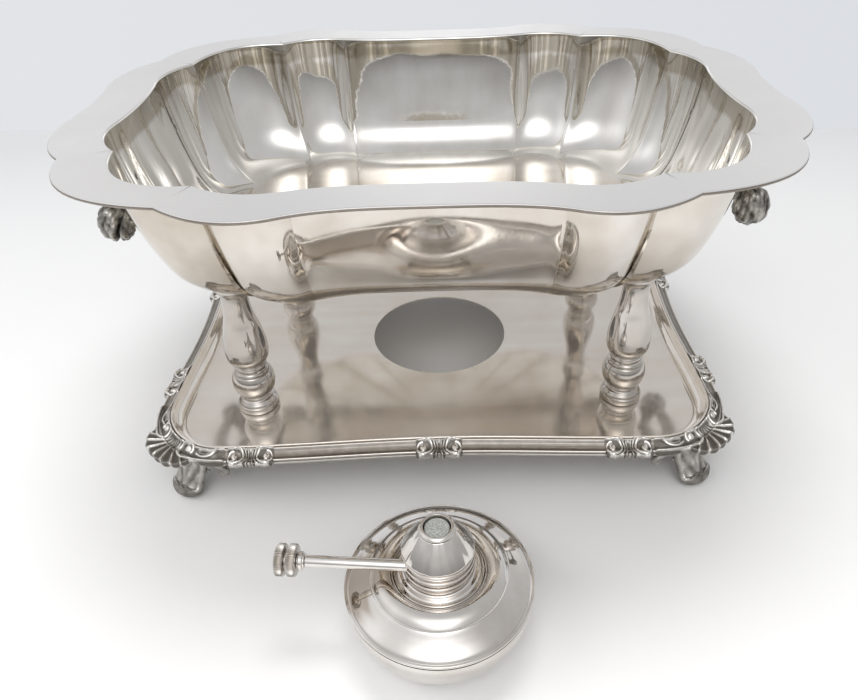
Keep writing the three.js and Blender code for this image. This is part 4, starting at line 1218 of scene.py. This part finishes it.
# Shares of the radius and of the rise
BASE_STOPS = [
    [0.93, 0], [0.955, 0.008], [0.965, 0.035], [0.965, 0.09], [0.95, 0.125], [0.90, 0.142],
    [0.885, 0.155], [0.90, 0.168], [0.885, 0.19], [0.82, 0.225], [0.775, 0.25], [0.75, 0.258],
    [0.70, 0.275], [0.67, 0.31], [0.69, 0.342], [0.75, 0.352], [0.765, 0.368], [0.755, 0.382],
    [0.81, 0.41], [0.90, 0.465], [0.965, 0.545], [1.0, 0.64], [0.995, 0.71], [0.955, 0.795],
    [0.875, 0.87], [0.82, 0.90], [0.77, 0.908], [0.765, 0.92], [0.785, 0.935], [0.77, 0.955],
    [0.72, 0.975], [0.70, 1.0],
]
VASE_STOPS = [
    [0.71, 0], [0.715, 0.008], [0.755, 0.018], [0.775, 0.035], [0.755, 0.052], [0.72, 0.06],
    [0.735, 0.07], [0.80, 0.082], [0.885, 0.105], [0.965, 0.145], [1.0, 0.20], [1.0, 0.26],
    [0.97, 0.33], [0.905, 0.42], [0.80, 0.53], [0.69, 0.625], [0.625, 0.72], [0.60, 0.81],
    [0.605, 0.87], [0.645, 0.92], [0.705, 0.952], [0.72, 0.962], [0.765, 0.970], [0.775, 0.982],
    [0.765, 1.0],
]


# %% Columns
def at_column(x, y):
    """Moves a turned piece from the axis to its column's place on the stand."""
    def place(points):
        return on_stand(points + [x, y, 0.0])
    return place


lengths = (
    ("turned_base", "column_base", bored(BASE_STOPS, BASE_RADIUS, COLUMN_FOOT, BASE_RISE)),
    ("turned_vase", "column", bored(VASE_STOPS, VASE_RADIUS, VASE_FOOT, VASE_RISE)),
)
for number, (x, y) in enumerate(COLUMN_PLACES, 1):
    for name, node, outline in lengths:
        piece(
            f"{name}_{number}", turned(outline, COLUMN_SIDES), at_column(x, y), "stand",
            "silver_plate", [silver_worn], [f"{node}_{number}"],
        )

# %% [markdown]
# ## The end handles
# Under the flange at each end hangs a cast bar with a cluster of leaves at either side. A round
# section follows a bent path, thickens at the leaves, and is broken up by overlapping blades. The
# handles hang in the flange's shadow, so folded waves stand for the blades, and no leaf is modelled
# by itself.

# %% End handles
HANDLE_LEAF = 9.4
HANDLE_BAR = 4.0
HANDLE_SIDES = 120
# The cluster of leaves: out from the wall, along from the middle, height; then the bar's height
WALL_FACE = WALL_HALF[0] + DISH_WALL
HANDLE_LEVEL = DISH_TOP - 52.0
LEAF_PLACE = np.array([WALL_FACE + 9.2, 42.0, HANDLE_LEVEL + 4.3])


def handle_path(sign):
    """From a lug on the wall, out and down to the leaves, along the bar and back."""
    half = np.array([
        [WALL_FACE - 3.6, 31.0, HANDLE_LEVEL + 25.5],
        [WALL_FACE - 0.6, 32.0, HANDLE_LEVEL + 25.2],
        [WALL_FACE + 3.6, 36.0, HANDLE_LEVEL + 22.4],
        LEAF_PLACE,
        [WALL_FACE + 11.6, 21.0, HANDLE_LEVEL],
    ])
    stops = np.concatenate([half, half[::-1] * [1, -1, 1]])
    return flowing(stops * [sign, 1, 1], 30)


def handle_relief(length, angle):
    """Blades, ribs, curls and beads: folded sines of the angle round the bar and of the length."""
    blades = np.abs(np.sin(2.5 * angle + length / 4.2)) ** 0.5
    ribs = np.abs(np.sin(8 * angle - length / 2.0)) ** 0.8
    curls = np.abs(np.sin(length / 1.9 + 1.8 * np.sin(3 * angle)))
    beads = np.abs(np.sin(5 * angle + length / 1.3)) * np.abs(np.sin(length / 1.15))
    return 0.35 * blades + 0.22 * ribs + 0.25 * curls + 0.18 * beads


def handle_surface(sign):
    """The section's radius grows near the leaves, by e to the minus fourth power of the distance from
    them. The relief takes up to a quarter of it, and a groove parts the cluster on a slant."""
    path = handle_path(sign)
    length = np.concatenate([[0], np.cumsum(np.linalg.norm(np.diff(path, axis=0), axis=1))])
    length = np.minimum(length, length[-1] - length)[:, None]
    leaves = [LEAF_PLACE * [sign, hand, 1] for hand in (1, -1)]
    away = np.min([np.linalg.norm(path - leaf, axis=1) for leaf in leaves], 0)[:, None]
    radius = HANDLE_BAR + (HANDLE_LEAF - HANDLE_BAR) * np.exp(-((away / 9.5) ** 4))
    angle = np.linspace(0, 2 * np.pi, HANDLE_SIDES, endpoint=False)
    slant = np.cos(angle - 0.5 - length / 14.0)
    groove = bell(slant, 0.15, 0.10) * bell(away, 0.0, 8.0)
    relief = handle_relief(length, angle) * (1 - 0.9 * groove)
    reach = radius * (0.74 + 0.26 * relief) - 1.3 * groove
    rings = round_bar(path, np.array([float(sign), 0.35, 0.2]), reach, HANDLE_SIDES)
    return skin(rings), relief.ravel()


for name, sign in (("end_handle_left", -1), ("end_handle_right", 1)):
    surface, marks = handle_surface(sign)
    stand_piece(
        f"leafy_{name}", surface, "cast_silver", cast_dark, name, sharp=75,
        marks={"height": marks ** 1.3},
    )

# %% [markdown]
# ## The burner's reservoir
# Two spun halves meet at a beaded rim. The upper one slopes in to a raised ring and drops into a well
# round the neck. Both are profiles carried round the axis, out along the sheet's outer face and back
# along its inner one, so each half is a closed shell with a real thickness.

# %% Reservoir
BURNER_SIDES = 160
RIM_RADIUS = 41.5
FOOT_SHEET = 1.0
SHOULDER_SHEET = 0.9


def base_profile():
    """A smooth curve from the foot up to the rim, and the same curve back a sheet further in."""
    outside = flowing([
        [28.5, 0.0], [31.5, 0.9], [35.4, 4.2], [38.6, 9.6], [40.6, 16.4], [41.3, 21.5],
        [41.35, 25.0],
    ], 6)
    inside = outside[::-1] - [FOOT_SHEET, 0.0]
    inside[:, 1] = np.maximum(inside[:, 1], FOOT_SHEET)
    return np.concatenate([[[0, 0], [27.0, 0.0]], outside, inside[1:], [[0, FOOT_SHEET]]])


def top_profile():
    """A smooth curve over rim, slope, raised ring and well, the neck's seat, and the curve back a
    sheet further down and in."""
    outside = flowing([
        [40.9, 25.3], [41.45, 25.8], [41.3, 26.6], [40.6, 26.9], [40.2, 27.0], [39.9, 27.35],
        [38.9, 28.3], [36.0, 30.0], [33.0, 31.4], [30.6, 32.4], [29.9, 32.85], [29.4, 33.6],
        [27.6, 35.2], [25.4, 36.2], [23.2, 36.5], [21.2, 36.1], [19.6, 35.1], [18.6, 34.1],
        [17.7, 33.75], [16.9, 34.1], [16.3, 34.9], [15.8, 35.6], [15.0, 35.95], [13.4, 36.0],
    ], 5)
    outside[:, 0] = np.minimum(outside[:, 0], RIM_RADIUS)
    inside = outside[::-1] - SHOULDER_SHEET
    inside = inside[(inside[:, 1] > 25.35) & (inside[:, 0] > 16.2)]
    seat = [[12.85, 35.9], [12.85, 32.9], [7.6, 32.9], [7.6, 31.9], [15.0, 31.9]]
    return np.concatenate([outside, seat, inside, [[40.4, 25.3]]])


# %% Stain with a painted reflection, and pieces of the reservoir
STAIN_TURN = np.radians(186.0)
STAIN_SPREAD = 0.42


def stain_and_painted_reflection(points):
    """A brown patch under the regulator's tube: tarnish, and a painted reflection of the stand. It is
    strongest in its middle and fades round the axis as a blunt bell curve does, with an edge that
    waves with the radius."""
    radius = np.hypot(points[:, 0], points[:, 1])
    turn = np.arctan2(points[:, 1], points[:, 0]) % (2 * np.pi) - STAIN_TURN
    turn = turn + 0.12 * np.sin(radius / 2.1) + 0.06 * np.sin(radius / 0.8)
    return 1.3 * np.exp(-((turn / STAIN_SPREAD) ** 4)) * np.clip((radius - 17.0) / 3.0, 0, 1)


lower = turned(base_profile(), BURNER_SIDES)
burner_piece("reservoir_lower", lower, "burner", silver_burner, "reservoir_base")
upper = turned(top_profile(), BURNER_SIDES)
# The reservoir's brown patch is tarnish and a painted reflection of the stand
burner_piece(
    "reservoir_upper", upper, "burner", silver_burner, "reservoir_top",
    marks={"sunk": stain_and_painted_reflection(upper[0])},
)

# %% [markdown]
# ## The burner's head
# A collar with three turned rings screws onto the neck. A plain cone stands on it, and a lipped tube
# holds the wick in the cone's mouth. The cone is left a little out of round, because a true one
# reflects the room in straighter lines than hand-spun metal does.

# %% Collar, cone and wick tube
COLLAR_FOOT = 36.3
COLLAR_RISE = 11.8
COLLAR_RADIUS = 15.5
COLLAR_BORE = 12.5
GROOVE_RADIUS = 14.5

collar_corners = [[COLLAR_BORE, COLLAR_FOOT]]
for ring in range(3):
    foot = COLLAR_FOOT + ring * COLLAR_RISE / 3
    collar_corners += [
        [GROOVE_RADIUS, foot + 0.05], [COLLAR_RADIUS, foot + 0.55],
        [COLLAR_RADIUS, foot + 3.35], [GROOVE_RADIUS, foot + 3.88],
    ]
collar_corners += [[COLLAR_BORE, COLLAR_FOOT + COLLAR_RISE]]
collar = turned(eased(collar_corners, 0.3, 3), 120)
groove_depth = COLLAR_RADIUS - 0.1 - np.hypot(collar[0][:, 0], collar[0][:, 1])
burner_piece(
    "ringed_collar", collar, "burner_head", silver_burner, "screw_collar",
    marks={"sunk": 2.0 * np.clip(groove_depth, 0, 1)},
)

cone = eased([
    [14.5, 48.4], [15.4, 48.4], [15.5, 49.1], [7.9, 59.95],
    [6.8, 59.95], [6.8, 59.0], [7.4, 59.0], [14.4, 49.2],
], 0.3, 3)


def chattered(surface, depth):
    """A hand-spun surface is never quite round: the radius loses a small share, which waves by the
    sum of three sines round the axis."""
    points, quads, triangles = surface
    angle = np.arctan2(points[:, 1], points[:, 0])
    wave = np.sin(9 * angle + 0.6) + 0.7 * np.sin(14 * angle + 2.1) + 0.5 * np.sin(23 * angle)
    points[:, :2] *= (1 - depth * (1.2 + wave))[:, None]
    return points, quads, triangles


unround_cone = chattered(turned(cone, 240), 0.006)
burner_piece("plain_cone", unround_cone, "burner_head", silver_burner, "burner_cone")

lip = eased([
    [5.7, 50.0], [6.4, 50.0], [6.4, 60.3], [7.7, 60.3],
    [7.75, 60.75], [7.0, 61.5], [6.1, 61.85], [5.75, 61.6],
], 0.4, 4)
burner_piece("lipped_tube", turned(lip, 96), "burner_head", silver_burner, "wick_tube")

wick = [
    [0, 6.0], [3.1, 6.0], [3.2, 52.5], [5.25, 54.8], [5.28, 60.1],
    [5.05, 60.5], [3.4, 60.6], [2.0, 60.5], [0.8, 60.6], [0, 60.58],
]
piece(
    "packed_wick", turned(wick, 48), on_burner, "wick_set", "wick_cotton", [wick_cotton], ["wick"],
)

# %% [markdown]
# ## The regulator
# A long tube leaves the collar sideways and ends in a stepped ferrule. The knob is two knurled discs
# with a groove between them. Each is a profile carried round the regulator's own axis. The knurling is
# a wave on the radius, which needs no cutting of teeth.

# %% Laying a turned piece along the regulator
REGULATOR_HEIGHT = 44.2
# The CAD tube's middle, turned back into the burner's own frame
tube_middle = (middle_of("regulator_tube") - burner_middle) @ plan_turn(-BURNER_TURN)
REGULATOR_OFFSET = float(tube_middle[1])


def along_regulator(surface, start):
    """Lays a surface made along Z down along -X, at the regulator's height and offset."""
    points, quads, triangles = surface
    x, y, z = points.T
    laid = np.stack([-start - z, y + REGULATOR_OFFSET, x + REGULATOR_HEIGHT], -1)
    return laid, quads, triangles


TEETH = 44
TOOTH_DEPTH = 0.65
KNOB_SIDES = 8 * TEETH


def knurled(profile):
    """A turned disc whose rim is cut by fine teeth: the radius loses a triangle wave round the axis,
    times the share that each stop of the profile gives."""
    profile = np.asarray(profile, float)
    angle = np.linspace(0, 2 * np.pi, KNOB_SIDES, endpoint=False)
    wave = np.abs(((TEETH * angle / (2 * np.pi)) % 1) * 2 - 1)
    radius, height, cut = profile[:, :1], profile[:, 1:2], profile[:, 2:]
    reach = radius - TOOTH_DEPTH * cut * wave
    rings = np.stack([reach * np.cos(angle), reach * np.sin(angle), height + 0 * angle], -1)
    return skin(rings, wrap_rows=True)


# %% Tube, ferrule and knob
# How far from the burner's axis each piece starts
TUBE_START = 10.0
FERRULE_START = 55.3
INNER_START = 58.6
OUTER_START = 63.6

tube = eased([[1.6, 0.0], [2.5, 0.0], [2.5, 45.0], [1.6, 45.0]], 0.25, 3)
ferrule = eased([
    [1.35, 0.0], [3.0, 0.0], [3.05, 0.55], [3.95, 0.95],
    [3.95, 2.3], [3.5, 2.45], [3.5, 3.0], [1.35, 3.0],
], 0.25, 3)
# Radius, height, and share of the teeth's depth; both discs have the same rim
knurled_rim = [[6.4, 0.25, 0.4], [6.85, 0.7, 1], [6.85, 3.1, 1], [6.4, 3.55, 0.4]]
inner_knob = [
    [1.4, 0, 0], [5.6, 0, 0], *knurled_rim, [5.2, 3.7, 0],
    [4.6, 3.8, 0], [4.5, 4.7, 0], [1.4, 4.7, 0],
]
outer_knob = [
    [1.4, 0, 0], [5.4, 0, 0], *knurled_rim, [5.6, 3.75, 0], [4.9, 3.6, 0], [1.4, 3.5, 0],
]
for name, surface, start, node in (
    ("slender_tube", turned(tube, 48), TUBE_START, "regulator_tube"),
    ("stepped_ferrule", turned(ferrule, 64), FERRULE_START, "tube_ferrule"),
):
    burner_piece(name, along_regulator(surface, start), "burner_head", silver_burner, node)
for name, profile, start, node in (
    ("inner_knob", inner_knob, INNER_START, "knob_inner"),
    ("outer_knob", outer_knob, OUTER_START, "knob_outer"),
):
    disc = along_regulator(knurled(profile), start)
    burner_piece(name, disc, "regulator", silver_worn, node, sharp=30)

# %% [markdown]
# ## Small CAD parts that stay
# Rods, nuts, saddles, the neck ring, the pinion and the wick's sleeve are mostly hidden and already
# the right shape, so each keeps its CAD mesh and takes a finish of its own.

# %% Finishes of the parts that stay
for material, starts in (
    (nickel, ("tie_rod_", "saddle_boss_", "regulator_shaft", "neck_ring")),
    (brass, ("tie_nut_", "pinion", "wick_carrier")),
):
    names = [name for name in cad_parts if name.startswith(starts)]
    for name in names:
        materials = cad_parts[name].data.materials
        materials.clear()
        materials.append(material)
    print(material.name, "on", names)

# %% [markdown]
# ## Table, backdrop and light
# The set stands on a white table, whose back edge shows as a faint line against a pale wall. The
# table's paint turns greyer to the back, as the real table falls off in light. The light is a large
# soft sky and two broad lamps. Bright metal shows whatever surrounds it, and a lamp would show as a
# disc with a hard edge. So reflections don't see the lamps: the sky's own soft patches stand for
# them, over a darker room behind the camera.

# %% Table and backdrop
TABLE_BACK = 0.4715
TABLE_SLANT = -0.070
TABLE_REACH = 2.5
WALL_PLACE = 0.95
WALL_TOP = 0.35
WALL_FOOT = -0.9
WALL_REACH = 3.0


def stage_sheet(name, corners, material):
    """One flat face of the surroundings, which isn't part of the object."""
    mesh = bpy.data.meshes.new(name)
    mesh.from_pydata(corners, [], [(0, 1, 2, 3)])
    mesh.materials.append(material)
    obj = bpy.data.objects.new(name, mesh)
    bpy.context.scene.collection.objects.link(obj)


def table_paint():
    """Matt white paint with faint clouds where it has been wiped, greyer towards the back."""
    material, tree, shader, vector = new_material("table_paint")
    clouds = remap(tree, noise(tree, vector, 5.0, 4.0), 0.0, 1.0)
    front = blend_colors(tree, clouds, (0.94, 0.935, 0.925), (0.91, 0.905, 0.895))
    further = along_axis(tree, vector, "Y", -0.2, 0.45)
    link(tree, blend_colors(tree, further, front, (0.60, 0.605, 0.61)), shader.inputs["Base Color"])
    shader.inputs["Roughness"].default_value = 0.6
    shader.inputs["Specular IOR Level"].default_value = 0.3
    return material


def wall_paper():
    """The paper glows where the camera or a reflection sees it, with painted light that is a little
    dimmer towards the right, and is matt paper to the light that falls on it."""
    material, tree, shader, vector = new_material("wall_paper")
    across = along_axis(tree, vector, "X", -0.7, 0.7)
    tone = blend_colors(tree, across, (0.765, 0.775, 0.805), (0.715, 0.735, 0.770))
    shader.inputs["Base Color"].default_value = (0.75, 0.76, 0.78, 1.0)
    shader.inputs["Roughness"].default_value = 0.9
    glow = tree.nodes.new("ShaderNodeEmission")
    link(tree, tone, glow.inputs["Color"])
    ray = tree.nodes.new("ShaderNodeLightPath")
    seen = combine(tree, "MAXIMUM", ray.outputs["Is Camera Ray"], ray.outputs["Is Glossy Ray"])
    seen = combine(tree, "MAXIMUM", seen, ray.outputs["Is Transmission Ray"])
    mix = tree.nodes.new("ShaderNodeMixShader")
    link(tree, seen, mix.inputs["Fac"])
    link(tree, shader.outputs["BSDF"], mix.inputs[1])
    link(tree, glow.outputs["Emission"], mix.inputs[2])
    link(tree, mix.outputs["Shader"], tree.nodes["Material Output"].inputs["Surface"])
    return material


table_corners = [(x, -TABLE_REACH, 0) for x in (-TABLE_REACH, TABLE_REACH)]
table_corners += [(x, TABLE_BACK + TABLE_SLANT * x, 0) for x in (TABLE_REACH, -TABLE_REACH)]
stage_sheet("table", table_corners, table_paint())
wall_corners = [(x, WALL_PLACE, WALL_FOOT) for x in (-WALL_REACH, WALL_REACH)]
wall_corners += [(x, WALL_PLACE, WALL_TOP) for x in (WALL_REACH, -WALL_REACH)]
stage_sheet("backdrop", wall_corners, wall_paper())

# %% Sky
world = bpy.data.worlds.new("soft_sky")
world.use_nodes = True
bpy.context.scene.world = world
sky = world.node_tree
direction = sky.nodes.new("ShaderNodeTexCoord").outputs["Generated"]


def soft_patch(azimuth, elevation, tightness, gain):
    """A bright patch of sky without an edge: the cosine of the angle from its middle, to a power. Its
    azimuth runs clockwise from the far side of the set, in degrees."""
    turn, rise = np.radians([azimuth, elevation])
    middle = (np.sin(turn) * np.cos(rise), np.cos(turn) * np.cos(rise), np.sin(rise))
    dot = sky.nodes.new("ShaderNodeVectorMath")
    dot.operation = "DOT_PRODUCT"
    dot.inputs[1].default_value = middle
    sky.links.new(direction, dot.inputs[0])
    power = combine(sky, "POWER", combine(sky, "MAXIMUM", dot.outputs["Value"], 0.0), tightness)
    return combine(sky, "MULTIPLY", power, gain)


SKY_LEVEL = 0.63
# Azimuth, elevation, tightness and gain of each patch
PATCHES = [
    (0.0, 13.0, 60.0, 0.9),
    (-32.0, 18.0, 30.0, 0.3),
    (32.0, 18.0, 30.0, 0.3),
    (-95.0, 40.0, 9.0, 0.5),
    (180.0, 54.0, 16.0, 2.6),
]

height = along_axis(sky, direction, "Z", -0.02, 0.25)
depth = along_axis(sky, direction, "Y", -0.9, 0.1)
low_room = blend_colors(sky, depth, (0.20, 0.19, 0.18), (0.80, 0.80, 0.81))
room = blend_colors(sky, height, low_room, (0.92, 0.92, 0.93))
brightness = soft_patch(*PATCHES[0])
for patch in PATCHES[1:]:
    brightness = combine(sky, "ADD", brightness, soft_patch(*patch))
brightness = combine(sky, "ADD", brightness, SKY_LEVEL)

# The camera sees an even pale colour instead of the patches
seen = sky.nodes.new("ShaderNodeLightPath").outputs["Is Camera Ray"]
shown = blend_colors(sky, seen, room, (0.74, 0.755, 0.785))
unseen = combine(sky, "LESS_THAN", seen, 0.5)
strength = combine(sky, "ADD", combine(sky, "MULTIPLY", brightness, unseen), seen)
sky.links.new(shown, sky.nodes["Background"].inputs["Color"])
sky.links.new(strength, sky.nodes["Background"].inputs["Strength"])


# %% Lamps
def soft_lamp(name, place, target, size, power):
    """A broad lamp that faces a point. Reflections show the sky's soft patches in its stead."""
    lamp = bpy.data.lights.new(name, "AREA")
    lamp.shape = "ELLIPSE"
    lamp.size, lamp.size_y = size
    lamp.energy = power
    obj = bpy.data.objects.new(name, lamp)
    obj.visible_glossy = False
    bpy.context.scene.collection.objects.link(obj)
    aim = Vector(target) - Vector(place)
    turn = aim.to_track_quat("-Z", "Y").to_matrix().to_4x4()
    obj.matrix_world = Matrix.Translation(place) @ turn


soft_lamp("left_lamp", (-1.2, 0.0, 1.0), (0, 0, 0.1), (0.8, 0.8), 3.2)
soft_lamp("overhead_lamp", (0.05, 0.4, 1.5), (0, 0, 0), (0.8, 0.5), 9.0)

# %% [markdown]
# ## The camera
# Its place, pitch, turn and roll were worked out from the photograph: the burner hole and the burner's
# circles, mirror pairs of the columns and the level outlines all agree on one view. The lens follows
# from the same fit, in pixels, and the small shift is the fit's own middle of the picture.

# %% Camera
IMAGE_WIDTH = 858
IMAGE_HEIGHT = 700
SENSOR_WIDTH = 36.0
CAMERA_PLACE = np.array([8.2, -377.5, 295.6])
YAW, PITCH, ROLL = 0.00848, 0.65230, 0.03060
FOCAL_PIXELS = 724.85
CENTRE_PIXEL = np.array([447.76, 353.93])

forward = np.array([-np.sin(YAW) * np.cos(PITCH), np.cos(YAW) * np.cos(PITCH), -np.sin(PITCH)])
level = np.array([np.cos(YAW), np.sin(YAW), 0.0])
down = np.cross(forward, level)
right = np.cos(ROLL) * level + np.sin(ROLL) * down
image_down = np.cos(ROLL) * down - np.sin(ROLL) * level

camera_data = bpy.data.cameras.new("photo_camera")
camera_data.sensor_fit = "HORIZONTAL"
camera_data.sensor_width = SENSOR_WIDTH
camera_data.lens = FOCAL_PIXELS / IMAGE_WIDTH * SENSOR_WIDTH
camera_data.shift_x = (IMAGE_WIDTH / 2 - CENTRE_PIXEL[0]) / IMAGE_WIDTH
camera_data.shift_y = (CENTRE_PIXEL[1] - IMAGE_HEIGHT / 2) / IMAGE_WIDTH
camera = bpy.data.objects.new("photo_camera", camera_data)
bpy.context.scene.collection.objects.link(camera)
place = on_stand(CAMERA_PLACE) * MM
camera.matrix_world = Matrix([
    [right[0], -image_down[0], -forward[0], place[0]],
    [right[1], -image_down[1], -forward[1], place[1]],
    [right[2], -image_down[2], -forward[2], place[2]],
    [0.0, 0.0, 0.0, 1.0],
])
bpy.context.scene.camera = camera
bpy.context.scene.view_settings.view_transform = "Standard"
print("camera at", place.round(4), "lens", round(camera_data.lens, 2))
